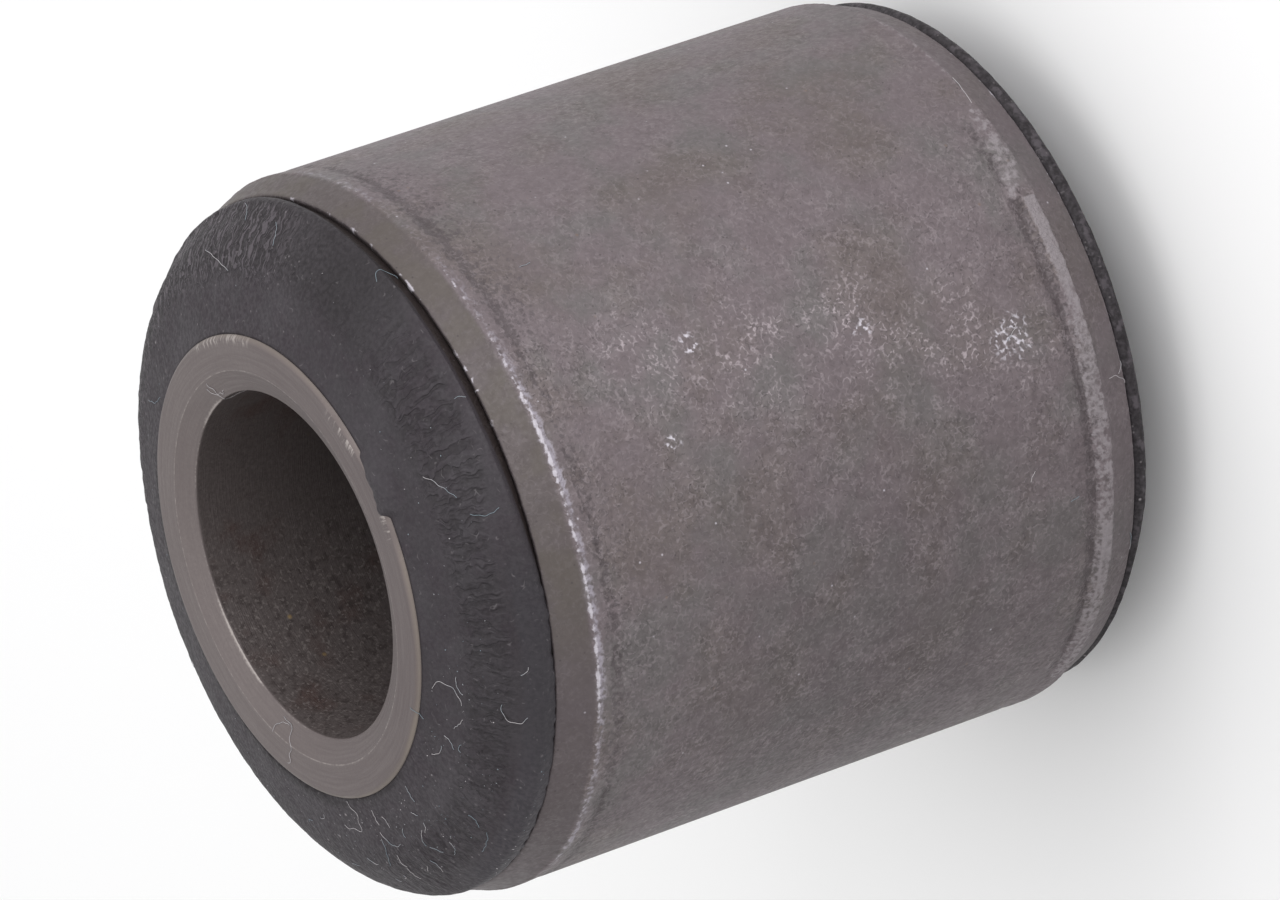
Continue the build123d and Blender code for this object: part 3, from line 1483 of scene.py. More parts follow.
    def paint_ridges(self, skin: Skin, outside: Mask, burr: Mask, groove: Mask) -> None:
        """Paints where the metal is scraped and ploughed, with the dark pits and painted shade of the grooves
        and the painted shade of the lip's end face.

        Args:
            skin: The sleeve's skin.
            outside: Which points are on the outside.
            burr: How much burr each point has.
            groove: How much of its groove is left.
        """
        turn, reach, upper = skin.turn, skin.reach, skin.upper
        bottom, foot = self.of_end(skin, "groove_bottom"), self.of_end(skin, "foot")
        pitted = rise(0.1, 0.7, self.pits.at(turn, skin.station)) * hump(reach, bottom + 0.35, width=0.4)
        ploughed = hump(reach, bottom - 0.05, width=0.6) * (reach < foot) * (1.0 - rise(0.0, 0.3, burr))
        ploughed = (ploughed * np.where(upper, 1.1, 0.9) + 1.2 * pitted * ~upper) * groove * outside
        # Painted shade: the lip's end face, down in the gap under the rubber, is darkened like the grooves.
        end_face = rise(0.5, 0.8, skin.facing_up) * (skin.station > 22.3) * (skin.radius < self.lip_radius)
        skin.paint("groove", np.maximum(ploughed, 1.2 * end_face))
        lip_line = 0.5 * hump(reach, self.lip_station - 0.06, width=0.1) * outside * ~upper
        skin.paint("burr", np.maximum(burr, lip_line))

    def paint_ends(self, skin: Skin, outside: Mask, scraped: Mask) -> None:
        """Paints the beads' painted highlight, the painted sheen beside them, the lip's bright specks and the
        drawn ends.

        Args:
            skin: The sleeve's skin.
            outside: Which points are on the outside.
            scraped: How bright the upper ridge is scraped.
        """
        turn, reach, upper = skin.turn, skin.reach, skin.upper
        brink = self.of_end(skin, "brink")
        # Bright specks along the lip, painted into the glint as highlight.
        chips = rise(0.3, 0.8, self.lip_chips.at(turn, reach)) * self.chipped_lip.at(turn)
        chips = chips * (0.6 + self.chipped_most.at(turn))
        chips = chips * hump(reach, self.lip_station - 0.1, width=0.11) * outside
        beads = 0.6 + 0.5 * rise(-0.3, 0.8, self.bead_row.at(turn, reach))
        beads = beads * hump(reach, brink - 0.07, width=0.16) * upper * outside
        beads = beads * np.minimum(1.0, 0.15 + scraped)
        beads = beads * self.beaded.at(turn) * (1.0 - self.beads_worn.at(turn))
        # The glint is the painted highlight of the beads and of the lip's specks.
        skin.paint("glint", beads + 0.8 * chips)
        # Painted sheen beside the brink of the upper ridge.
        skin.paint("frost", hump(reach, brink - 0.3, width=0.3) * (0.1 + 0.65 * scraped) * upper * outside)
        skin.paint("quiet", self.quiet.at(turn))
        drawn = rise(-0.08, 0.08, reach - self.of_end(skin, "foot")) * outside
        skin.paint("taper", drawn * np.where(upper, 1.0, 0.55))
        skin.paint("olive", drawn * upper * self.olive.at(turn))


@dataclass(frozen=True)
class Swell:
    """A stretch where the rubber stands out further, or less far, than the rest.

    Attributes:
        arc: The arc, with how far the rubber stands out there.
        start: Radius at which the swell begins.
        stop: Radius from which it is whole.
        upper_only: Whether the lower end goes without it.
    """

    arc: Arc
    start: float
    stop: float
    upper_only: bool = True

    def at(self, skin: Skin) -> Mask:
        """Gives how far each point of a skin stands out."""
        swell = self.arc.at(skin.turn) * rise(self.start, self.stop, skin.turned_radius)
        return swell * skin.upper if self.upper_only else swell


@dataclass
class RubberElement(TurnedPiece):
    """The bonded ring of rubber, bulging over the sleeve's lips and wrinkled there.

    Attributes:
        tube_radius: Radius of the tube that it is bonded to.
        inner_radius: Radius of the sleeve's bore.
        inner_knee: Where that bore begins to close.
        lip_root: Radius and station where the rubber leaves the lip's end face.
        lip_inside: Radius and station of the lip's inner edge.
        tube_line: Where the upper rubber meets the tube.
        face_cover: Highest station of the flash over the tube's face.
        flash_width: How wide the root of that flash is.
        flash_reach: How far it reaches over the face.
        shoulder: Radius and station of the upper shoulder.
        nose: Radius and station of the upper nose.
        nose_width: Height of the nose.
        nose_rounding: Rounding of its edges.
        lower_shoulder: Radius and station of the lower shoulder.
        lower_nose: Radius and station of the lower nose.
        free_from: Station from which the rubber is free of the sleeve.
        swells: Where it stands out more or less.
    """

    NAME = "rubber_ring"

    steps: int = 1000
    tube_radius: float = 16.0
    inner_radius: float = 23.0
    inner_knee: float = 20.2
    lip_root: tuple[float, float] = (23.55, 23.07)
    lip_inside: tuple[float, float] = (22.12, 22.55)
    tube_line: float = 28.4
    face_cover: float = 28.79
    flash_width: float = 1.6
    flash_reach: float = 0.62
    shoulder: tuple[float, float] = (21.1, 27.05)
    nose: tuple[float, float] = (24.1, 24.35)
    nose_width: float = 0.6
    nose_rounding: float = 0.28
    lower_shoulder: tuple[float, float] = (22.48, 24.95)
    lower_nose: tuple[float, float] = (24.1, 24.1)
    free_from: float = 23.1
    swells: tuple[Swell, ...] = (
        Swell(Arc(95, 140, 28, share=0.4), 20, 23, upper_only=False),
        Swell(Arc(85, 120, 20, share=0.12), 21, 23.6),
        Swell(Arc(2, 34, 18, share=-0.24), 22.2, 23.6),
    )
    # Arcs of the nose, of its gap over the sleeve's lip and of the skin, in degrees.
    smooth_nose: Arc = Arc(-170, -96, 12)
    calm_side: Arc = Arc(80, 160, 30, share=0.6)
    calm_corner: Arc = Arc(-50, -14, 18, share=0.6)
    crumple: Arc = Arc(-14, 70, 22)
    ragged_gap: Arc = Arc(-200, -112, 14)
    shut_gap: Arc = Arc(2, 120, 10, share=0.5)
    open_gap: Arc = Arc(-78, -42, 26, share=0.4)
    sunk: Arc = Arc(60, 150, 20, share=0.6)
    pinched: Arc = Arc(-160, -147, 22, share=0.75)
    polished_nose: Arc = Arc(-165, -108, 12)
    beside_tube: Arc = Arc(62, 160, 15)
    at_tube: Arc = Arc(140, 195, 10, share=0.8)
    clean: Arc = Arc(-128, -48, 22)
    shaded: Arc = Arc(-46, -18, 20, share=0.8)
    shaded_less: Arc = Arc(-128, -106, 14, share=0.3)
    # How uneven the bulge, the folds, the gap and the flash are.
    broad_swell: Wave = Wave(21, arc=25.0, depth=0.05)
    narrow_swell: Wave = Wave(21, arc=8.0, depth=0.03, shift=11.0)
    bend: Wave = Wave(23, arc=2.4, pitch=0.9, depth=0.9)
    drift: Wave = Wave(24, arc=14.0, pitch=3.0, depth=0.9)
    shove: Wave = Wave(23, arc=2.0, pitch=0.8, depth=0.3, shift=50.0)
    folds: Wave = Wave(22, arc=0.85, pitch=0.7)
    strength: Wave = Wave(24, arc=9.0, pitch=2.0)
    dimples: Wave = Wave(24, arc=1.8, pitch=0.6, depth=0.02)
    sag: Wave = Wave(22, arc=1.3, depth=0.2)
    gap_wave: Wave = Wave(21, arc=5.0, depth=0.05, shift=5.0)
    flash_grit: Wave = Wave(22, arc=1.5, depth=0.3)
    flash_wave: Wave = Wave(22, arc=5.0, depth=0.2)

    def section(self) -> list[Corner]:
        """Gives the section's corners, out along the upper surface, down, and back along the lower one.

        Returns:
            The corners.
        """
        nose_radius, nose_top = self.nose
        lower_radius, lower_top = self.lower_nose
        return [
            Corner(self.tube_radius, self.tube_line, rows=19),
            Corner(*self.shoulder, rounding=1.4, rows=26),
            Corner(nose_radius, nose_top, rounding=self.nose_rounding),
            Corner(nose_radius, nose_top - self.nose_width, rounding=self.nose_rounding, rows=4),
            Corner(*self.lip_root),
            Corner(*self.lip_inside),
            Corner(self.inner_radius, self.inner_knee, rows=2),
            Corner(self.inner_radius, -self.inner_knee),
            Corner(self.lip_inside[0], -self.lip_inside[1]),
            Corner(self.lip_root[0], -self.lip_root[1], rows=3),
            Corner(lower_radius, -(lower_top - self.nose_width), rounding=self.nose_rounding),
            Corner(lower_radius, -lower_top, rounding=self.nose_rounding, rows=4),
            Corner(self.lower_shoulder[0], -self.lower_shoulder[1], rounding=0.8, rows=6),
            Corner(self.tube_radius, -self.tube_line, rows=2),
        ]

    def work(self, skin: Skin) -> None:
        """Works the ring's bulge, its wrinkles and its flash.

        Args:
            skin: The ring's skin.
        """
        crease = self.fold_skin(skin)
        self.press(skin)
        self.lay_flash(skin)
        self.paint_dirt(skin, crease)

    def fold_skin(self, skin: Skin) -> Mask:
        """Gives the free surfaces their swell and their folds, and paints where the folds are.

        Args:
            skin: The ring's skin.

        Returns:
            A mask of the creases between the folds, which are pushed in and painted as shade.
        """
        turn, radius, reach = skin.turn, skin.turned_radius, skin.reach
        free = (reach > self.free_from) & (radius > self.tube_radius + 0.05)
        swell = self.broad_swell.at(turn, reach) + self.narrow_swell.at(turn, reach)
        swell = swell + sum(place.at(skin) for place in self.swells)
        smooth = self.smooth_nose.at(turn)
        outer_zone = rise(19.4, 20.2, radius) * (1.0 - rise(23.4 - 1.1 * smooth, 23.9 - 0.9 * smooth, radius))
        outer_zone = outer_zone * (1.0 - self.calm_side.at(turn)) * (1.0 - self.calm_corner.at(turn))
        crumpled = rise(18.6, 21.0, radius) * (1.0 - rise(23.7, 24.1, radius)) * self.crumple.at(turn)
        wrinkled = np.maximum(outer_zone, crumpled) * free

        slant = turn + (radius - 22.0) * self.drift.at(turn, radius) + self.bend.at(turn, radius)
        fold = self.folds.at(slant, radius + self.shove.at(turn, radius))
        lively = 0.55 + 0.45 * rise(-0.5, 0.5, self.strength.at(turn, radius))
        # The creases are pushed in, and later painted as shade.
        crease = 0.5 * (1.0 - rise(0.0, 0.55, fold + 0.8)) * wrinkled * lively
        relief = 0.04 * fold * wrinkled * lively - 0.04 * crease
        skin.push(free * (swell + self.dimples.at(turn, radius)) + relief)
        skin.paint("wrinkled", wrinkled)
        skin.paint("crumpled", crumpled * free)
        return crease

    def press(self, skin: Skin) -> None:
        """Lets the nose sag to the lip, sinks the rubber at the tube and flattens the lower end.

        Args:
            skin: The ring's skin.
        """
        turn, radius, reach, upper = skin.turn, skin.turned_radius, skin.reach, skin.upper
        under_nose = upper & (radius > 23.4) & (reach > 23.3) & (reach < 24.3)
        closing = (0.3 + self.sag.at(turn, reach)) * self.ragged_gap.at(turn) + self.shut_gap.at(turn)
        closing = closing - self.open_gap.at(turn) + self.gap_wave.at(turn, reach)
        skin.station = skin.station - closing * under_nose * (1.0 - rise(23.6, 24.3, reach))
        beside_tube = upper * (1.0 - rise(16.0, 16.35, radius)) * (reach > 25.0)
        skin.station = skin.station - beside_tube * self.sunk.at(turn)
        bulge = np.maximum(reach - 23.5, 0.0) * rise(20.5, 23.5, radius) * ~upper
        skin.station = skin.station - np.sign(skin.station) * bulge * self.pinched.at(turn)

    def lay_flash(self, skin: Skin) -> None:
        """Lays the thin flash that the mould left over the edge of the tube's upper face.

        Args:
            skin: The ring's skin.
        """
        turn, radius = skin.turn, skin.turned_radius
        root = np.zeros_like(radius)
        flash = 0.35 * rise(-69.5, -71.0, turn) + 0.75 * rise(-71.0, -82.5, turn)
        flash = flash * rise(-87.5, -84.5, turn)
        flash = flash * (skin.station > 25.0) * (radius < self.tube_radius + self.flash_width)
        out = np.clip((radius - self.tube_radius) / self.flash_width, 0.0, 1.0)
        ragged = 1.0 + self.flash_grit.at(turn, root) + self.flash_wave.at(turn, root)
        skin.radius = skin.radius - self.flash_reach * ragged * flash * (1.0 - out)
        lifted = skin.station + 0.6 * flash * (1.0 - rise(0.3, 1.0, out))
        edge = (radius < self.tube_radius + 0.05) * flash
        skin.station = np.where(flash > 0, np.minimum(lifted, self.face_cover) - 0.1 * edge, skin.station)

    def paint_dirt(self, skin: Skin, crease: Mask) -> None:
        """Paints the painted shade of creases, lines and gaps, the gap's dirt, the nose's painted sheen, the
        dust and the lower ring.

        Args:
            skin: The ring's skin.
            crease: The creases between the folds, to be painted as shade.
        """
        turn, radius, reach, upper = skin.turn, skin.turned_radius, skin.reach, skin.upper
        gap = (1.0 - rise(23.3, 23.5, reach)) * (radius > 22.0) * (reach > 22.0) * (radius < 24.0)
        # Painted shade along the tube's edge, where the tube stands proud of the rubber.
        line = hump(radius, 16.5, width=0.5) * self.beside_tube.at(turn)
        line = np.maximum(line, hump(radius, 16.1, width=0.3) * self.at_tube.at(turn)) * (reach > 25.0)
        # Painted shade on two arcs of the outer slope.
        shade = (self.shaded.at(turn) + self.shaded_less.at(turn)) * rise(19.0, 21.5, radius)
        skin.paint("crease", crease + (shade + line) * upper + gap * ~upper)
        skin.paint("soiled", gap * upper)
        skin.paint("dusty", 1.0 - self.clean.at(turn) * upper)
        # Painted sheen along the smooth nose.
        skin.paint("nose", rise(22.9, 23.4, radius) * upper * self.polished_nose.at(turn))
        # The lower ring, painted darker with lighter flecks.
        skin.paint("scuffed", rise(22.0, 23.0, radius) * (reach > 23.4) * ~upper)


@dataclass
class InnerTube(TurnedPiece):
    """The thick steel tube that the bolt goes through.

    Attributes:
        bore_radius: Radius of the bore.
        tube_radius: Outer radius.
        face_station: Where the end faces are.
        lead_in_radius: Radius at which the lead-in starts on the face.
        lead_in_depth: How deep the lead-in goes.
        chamfer: Chamfer of the outer edges.
        chamfer_rounding: Wear of the chamfer's corners.
        lead_in_rounding: Wear of the lead-in's upper edge.
        edge_rounding: Wear of the bore's edges.
        edge_reach: How far into the bore the edge's own faces go.
        score_radius: Radius of the one deeper tool mark.
        flash_edge: Radius to which the rubber's flash covers the face.
        tube_end: Station past which the outer edge is dressed.
        polish_turn: Turn at which the end face is lightest.
    """

    NAME = "steel_tube"

    steps: int = 720
    bore_radius: float = 12.0
    tube_radius: float = 16.0
    face_station: float = 28.72
    lead_in_radius: float = 13.6
    lead_in_depth: float = 0.7
    chamfer: float = 0.25
    chamfer_rounding: float = 0.08
    lead_in_rounding: float = 0.07
    edge_rounding: float = 0.09
    edge_reach: float = 0.5
    score_radius: float = 13.85
    flash_edge: float = 15.65
    tube_end: float = 28.0
    # Arcs of the faces' marks and of the painted highlight on the bore's edge, in degrees.
    ticked: Arc = Arc(-16, 4, 5)
    torn: Arc = Arc(-17, 4, 5, share=1.3)
    scored: Arc = Arc(130, 180, 20)
    worn: tuple[Arc, ...] = (Arc(14, 24, 8, share=0.7), Arc(97, 120, 10, share=0.7))
    bright_rim: tuple[Arc, ...] = (
        Arc(150, 215, 12, share=0.5),
        Arc(-145, -100, 10, share=0.5),
        Arc(-45, 0, 15, share=0.3),
    )
    flash_start: Arc = Arc(-68, -58, 3)
    flash_end: Arc = Arc(-91, -86, 2, share=0.9)
    open_side: Arc = Arc(105, 205, 50)
    polish_turn: float = 70.0
    nicks: Wave = Wave(31, arc=1.1)
    tool_marks: Wave = Wave(32, arc=70.0, pitch=0.22, depth=0.006)
    wear: Wave = Wave(32, arc=9.0, shift=13.0)

    def half_section(self) -> list[Corner]:
        """Gives the corners of the upper half, from the outside over the end face into the bore.

        Returns:
            The corners.
        """
        edge_station = self.face_station - self.lead_in_depth
        return [
            Corner(self.tube_radius, self.face_station - self.chamfer, self.chamfer_rounding, rows=3),
            Corner(self.tube_radius - self.chamfer, self.face_station, self.chamfer_rounding, rows=16),
            Corner(self.lead_in_radius, self.face_station, self.lead_in_rounding, rows=6),
            Corner(self.bore_radius, edge_station, self.edge_rounding, rows=3),
            Corner(self.bore_radius, edge_station - self.edge_reach, rows=36),
        ]

    def section(self) -> list[Corner]:
        """Gives the section's corners: the lower half mirrors the upper one.

        Returns:
            The corners.
        """
        upper = self.half_section()
        flipped = list(reversed(upper))
        rows = [corner.rows for corner in flipped[1:]] + [1]
        lower = [
            Corner(corner.radius, -corner.station, corner.rounding, count)
            for corner, count in zip(flipped, rows)
        ]
        return [*upper, *lower]

    def work(self, skin: Skin) -> None:
        """Leaves tool marks and burrs on the ends, and paints the bore, the face's lighter side, the rim and
        the painted highlight of the edges.

        Args:
            skin: The tube's skin.
        """
        turn, radius, reach, upper = skin.turn, skin.radius, skin.reach, skin.upper
        on_face = reach > self.face_station - 0.02
        at_end = reach > self.tube_end
        outer = hump(radius, self.tube_radius - self.chamfer, width=0.25) * at_end * upper
        nicks = rise(0.1, 0.6, self.nicks.at(turn, radius)) * outer * self.ticked.at(turn)
        score = hump(radius, self.score_radius, width=0.05) * on_face * self.scored.at(turn)
        moved = self.tool_marks.at(turn, radius) * on_face + 0.012 * score - 0.02 * outer * (1 - nicks)
        skin.station = skin.station + np.sign(skin.station) * moved

        knee = self.face_station - self.lead_in_depth
        bore = (radius < self.bore_radius + 0.02) * rise(0.05, 0.2, knee - reach)
        # Painted highlight along the lead-in's and the bore's edges, strongest on the paler arcs.
        lead_edge = hump(radius, self.lead_in_radius, width=0.07) * on_face
        bore_edge = hump(radius, self.bore_radius + 0.04, width=0.07) * hump(reach, knee, width=0.09)
        wear = 0.1 + 0.3 * rise(0.0, 0.7, self.wear.at(turn, radius)) + sum(arc.at(turn) for arc in self.worn)
        flash = hump(radius, self.flash_edge, width=0.4) * self.flash_start.at(turn)
        flash = flash + hump(radius, self.flash_edge - 0.05, width=0.35) * self.flash_end.at(turn)
        rim = hump(radius, self.tube_radius - 0.05, width=0.16) * at_end
        skin.paint("bore", bore)
        skin.paint("open_side", self.open_side.at(turn))
        # The end face is lighter towards one turn and darker opposite.
        skin.paint("polish", rise(-1.0, 1.0, np.cos(np.radians(turn - self.polish_turn))))
        skin.paint("edge", np.maximum(0.45 * lead_edge, bore_edge * wear) + 0.6 * score)
        # The outer edge painted golden, lighter as a highlight on some arcs.
        skin.paint("rim", rim * (0.25 + sum(arc.at(turn) for arc in self.bright_rim)))
        skin.paint("torn", upper * np.maximum(flash * on_face, outer * self.torn.at(turn)))


# --- Loose dirt ---


def spot_at(turn: float, radius: float, station: float, middle: float) -> Vector:
    """Gives a place in metres for a turn in degrees and a radius and station in millimetres."""
    angle, distance = math.radians(turn), radius * MM
    return Vector((distance * math.cos(angle), distance * math.sin(angle), station * MM + middle))


@dataclass(frozen=True)
class Fibre:
    """A thread of fluff that lies on a skin.

    Attributes:
        turn: Where it starts, round the axis.
        radius: How far from the axis it starts.
        station: How high it starts.
        heading: Which way it sets out: 0 along the turn, 90 inwards on the end and upwards on the side.
        length: Its length in millimetres.
        curl: How far it turns aside in all, in degrees.
        waver: How far it snakes about that line, in degrees.
    """

    turn: float
    radius: float
    station: float
    heading: float
    length: float
    curl: float = 0.0
    waver: float = 20.0


@dataclass
class LooseDirt:
    """Threads of fluff and grains of dust on the bush.

    Attributes:
        thickness: Radius of a thread.
        pace: Distance between a thread's points.
        lift: How high a thread's line runs above the skin.
        arch: How much higher its middle runs.
        snakes: How often a thread snakes to both sides.
        snakes_early: How much of that belongs to its first part, where it is slower.
        waves: How far its height runs through its own waves, in radians.
        smoothing: Order of a thread's curve, and how finely it is divided.
        seed: Which of the endless scatterings this is.
        fibres: The threads.
    """

    thickness: float = 0.019
    pace: float = 0.22
    lift: float = 0.018
    arch: float = 0.018
    snakes: float = 3.0
    snakes_early: float = 0.6
    waves: float = 9.0
    smoothing: int = 3
    # Short hairs that lie about: turns as middle and spread, then the least and the most of each.
    hair_count: int = 24
    hair_lengths: tuple[float, float] = (0.5, 1.5)
    hair_turns: tuple[float, float] = (-178.0, 38.0)
    hair_radii: tuple[float, float] = (17.5, 23.5)
    hair_station: float = 27.0
    hair_curl: float = 120.0
    hair_waver: float = 30.0
    # Grains, most of them gathered about one turn, and each as high as its station before it settles.
    grain_count: int = 280
    grain_sizes: tuple[float, float] = (0.025, 0.07)
    grain_shape: tuple[float, float, float] = (1.0, 0.7, 0.45)
    grain_turns: tuple[float, float] = (-175.0, 40.0)
    gathered: float = 0.75
    grain_radii: tuple[float, float] = (16.8, 23.9)
    grain_station: float = 28.0
    # The first of the grains are crumbs in the closed gap beside the sleeve.
    crumb_count: int = 26
    crumb_turns: tuple[float, float] = (-172.0, -134.0)
    crumb_radius: float = 24.4
    crumb_stations: tuple[float, float] = (23.6, 24.6)
    seed: int = 5
    fibres: tuple[Fibre, ...] = (
        Fibre(0, 21.6, 26.6, 155, 4.2, 0, 6),
        Fibre(-21, 23.1, 25.2, 134, 1.9, -30),
        Fibre(-9, 23.9, 24.6, 147, 1.8, -40),
        Fibre(-49, 23.7, 24.7, -31, 2.6, -150),
        Fibre(11, 13, 28.8, 85, 5, 90, 50),
        Fibre(9, 13.3, 28.8, 60, 2.6, 170, 60),
        Fibre(43, 18.6, 27.7, 107, 2.8, 60),
        Fibre(139, 12.3, 28.3, -20, 4.4, -105, 40),
        Fibre(137, 13.7, 28.8, 84, 2.1, -90),
        Fibre(-137, 15.4, 28.8, -92, 1.3, -40),
        Fibre(-128.5, 16.9, 28.2, -31, 3.6, -140),
        Fibre(-126, 22.1, 26.2, 160, 3, 190),
        Fibre(-120, 23.1, 25.3, -68, 0.9, 60),
        Fibre(162, 18.3, 27.8, -47, 5.1, 190, 40),
        Fibre(175, 19.1, 27.6, -111, 2.7, -25),
        Fibre(176, 18.6, 27.7, -86, 2.5, 115),
        Fibre(-156, 22.6, 25.7, -163, 2.4, -17),
        Fibre(-82.5, 20.2, 27.3, -137, 2.9, -8),
        Fibre(-91.6, 22.2, 26.1, -129, 2.2, 75),
        Fibre(-73.5, 23.7, 24.7, -90, 0.8, -60),
        Fibre(-146, 17.6, 28, -60, 1.6, 80),
        Fibre(-171, 20.6, 27.2, 70, 1.5, -60),
        Fibre(-91, 24.95, -15.7, 136, 1.5, -17),
        Fibre(-104, 24.6, -21.7, -93, 2.5, -65),
        Fibre(-104, 24.2, -22.7, -50, 1, 15),
        Fibre(-115.5, 24.95, -14.2, -17, 0.8, -47),
        Fibre(-121, 24.95, -17.3, -79, 0.7),
        Fibre(-57, 24.95, 15.2, 100, 0.9, -20),
        Fibre(-49, 24.95, -20.85, 178, 2.6, -6, 5),
        Fibre(-132, 24.2, -22.9, -160, 1.6, -30),
    )

    def build(self, carriers: Sequence[Piece], middle: float) -> list[Piece]:
        """Lays the threads and the grains.

        Args:
            carriers: The finished pieces that they lie on.
            middle: Height of the bush's middle, in metres.

        Returns:
            The joined threads and the joined grains.
        """
        threads = [self.spin_fibre(fibre, carriers, middle) for fibre in (*self.fibres, *self.pick_hairs())]
        return [join("lint_fibres", threads), join("dust_grains", self.scatter(carriers[0], middle))]

    def pick_hairs(self) -> list[Fibre]:
        """Picks the short hairs that lie scattered where the dust gathers.

        Returns:
            The hairs.
        """
        draw = np.random.default_rng(self.seed + 1)
        hairs = []
        for _ in range(self.hair_count):
            turn, radius = draw.normal(*self.hair_turns), draw.uniform(*self.hair_radii)
            heading, length = draw.uniform(0.0, CIRCLE), draw.uniform(*self.hair_lengths)
            curl = draw.uniform(-self.hair_curl, self.hair_curl)
            hairs.append(Fibre(turn, radius, self.hair_station, heading, length, curl, self.hair_waver))
        return hairs

    @staticmethod
    def nearest(carriers: Sequence[Piece], point: Vector) -> tuple[Vector, Vector]:
        """Gives the place on the carriers that is nearest to a point, with its normal."""
        hits = [carrier.closest_point_on_mesh(point)[1:3] for carrier in carriers]
        return min(hits, key=lambda hit: (hit[0] - point).length)

    def spin_fibre(self, fibre: Fibre, carriers: Sequence[Piece], middle: float) -> Piece:
        """Lays one thread step by step over the skins.

        Args:
            fibre: The thread.
            carriers: The pieces that it lies on.
            middle: Height of the bush's middle, in metres.

        Returns:
            The thread as a mesh.
        """
        point = spot_at(fibre.turn, fibre.radius, fibre.station, middle)
        steps = max(5, round(fibre.length / self.pace))
        path = []
        for count in range(steps + 1):
            share = count / steps
            spot, normal = self.nearest(carriers, point)
            around = Vector((-spot.y, spot.x, 0.0)).normalized()
            across = normal.cross(around).normalized()
            phase = share * (self.snakes_early + (1.0 - self.snakes_early) * share)
            sway = fibre.waver * math.sin(self.snakes * FULL_TURN * phase)
            heading = math.radians(fibre.heading + fibre.curl * share + sway)
            arch = self.lift + self.arch * math.sin(math.pi * share) * (1.0 + math.sin(self.waves * share))
            path.append(spot + normal * arch * MM)
            ahead = around * math.cos(heading) + across * math.sin(heading)
            point = spot + ahead * fibre.length / steps * MM
        return self.draw_thread(path)

    def draw_thread(self, path: Sequence[Vector]) -> Piece:
        """Draws a thread as a curve with thickness and makes it a mesh.

        Args:
            path: The points of its middle line, in metres.

        Returns:
            The thread.
        """
        clear_selection()
        bpy.ops.curve.primitive_nurbs_path_add()
        thread = bpy.context.active_object
        spline = thread.data.splines[0]
        spline.points.add(len(path) - len(spline.points))
        for knot, place in zip(spline.points, path):
            knot.co = (*place, 1.0)
        spline.order_u = self.smoothing
        spline.use_endpoint_u = True
        spline.resolution_u = self.smoothing
        thread.data.bevel_depth = self.thickness * MM
        thread.data.bevel_resolution = 1
        thread.data.use_fill_caps = True
        bpy.ops.object.convert(target="MESH")
        return bpy.context.active_object

    def scatter(self, carrier: Piece, middle: float) -> list[Piece]:
        """Drops flattened grains on the rubber, most of them where the dust gathers.

        Args:
            carrier: The piece that they lie on.
            middle: Height of the bush's middle, in metres.

        Returns:
            The grains.
        """
        draw = np.random.default_rng(self.seed)
        clear_selection()
        bpy.ops.mesh.primitive_ico_sphere_add(subdivisions=1, radius=MM)
        pattern = bpy.context.active_object
        bpy.ops.object.mode_set(mode="EDIT")
        bpy.ops.transform.resize(value=self.grain_shape)
        bpy.ops.object.mode_set(mode="OBJECT")
        grains = [pattern]
        for count in range(self.grain_count):
            point, size = self.pick_grain(draw, count < self.crumb_count, middle)
            spot, normal = self.nearest([carrier], point)
            grain = pattern if count == 0 else pattern.copy()
            if count:
                grain.data = pattern.data.copy()
                bpy.context.collection.objects.link(grain)
                grains.append(grain)
            spin = Matrix.Rotation(draw.uniform(0.0, FULL_TURN), 4, "Z")
            stand = normal.to_track_quat("Z", "Y").to_matrix().to_4x4()
            grain.matrix_world = Matrix.Translation(spot) @ stand @ spin @ Matrix.Scale(size, 4)
        return grains

    def pick_grain(self, draw: np.random.Generator, crumb: bool, middle: float) -> tuple[Vector, float]:
        """Picks where a grain is dropped and how large it is.

        Args:
            draw: The generator of the scattering.
            crumb: Whether it lies in the gap beside the sleeve.
            middle: Height of the bush's middle, in metres.

        Returns:
            Its place in metres and its radius in millimetres.
        """
        gathered = draw.uniform() < self.gathered
        turn = draw.normal(*self.grain_turns) if gathered else draw.uniform(-HALF_CIRCLE, HALF_CIRCLE)
        radius, station = draw.uniform(*self.grain_radii), self.grain_station
        smallest, largest = self.grain_sizes
        size = smallest + (largest - smallest) * draw.uniform() ** 3
        if crumb:
            turn, radius = draw.uniform(*self.crumb_turns), self.crumb_radius
            station = draw.uniform(*self.crumb_stations)
        return spot_at(turn, radius, station, middle), size


def join(name: str, parts: Sequence[Piece]) -> Piece:
    """Joins parts into one piece whose place is in its mesh.

    Args:
        name: The piece's name.
        parts: The parts.

    Returns:
        The piece.
    """
    clear_selection()
    for part in parts:
        part.select_set(True)
    bpy.context.view_layer.objects.active = parts[0]
    bpy.ops.object.join()
    bpy.ops.object.transform_apply(location=True, rotation=True, scale=True)
    piece = bpy.context.active_object
    piece.name = name
    return piece


# --- Studio ---


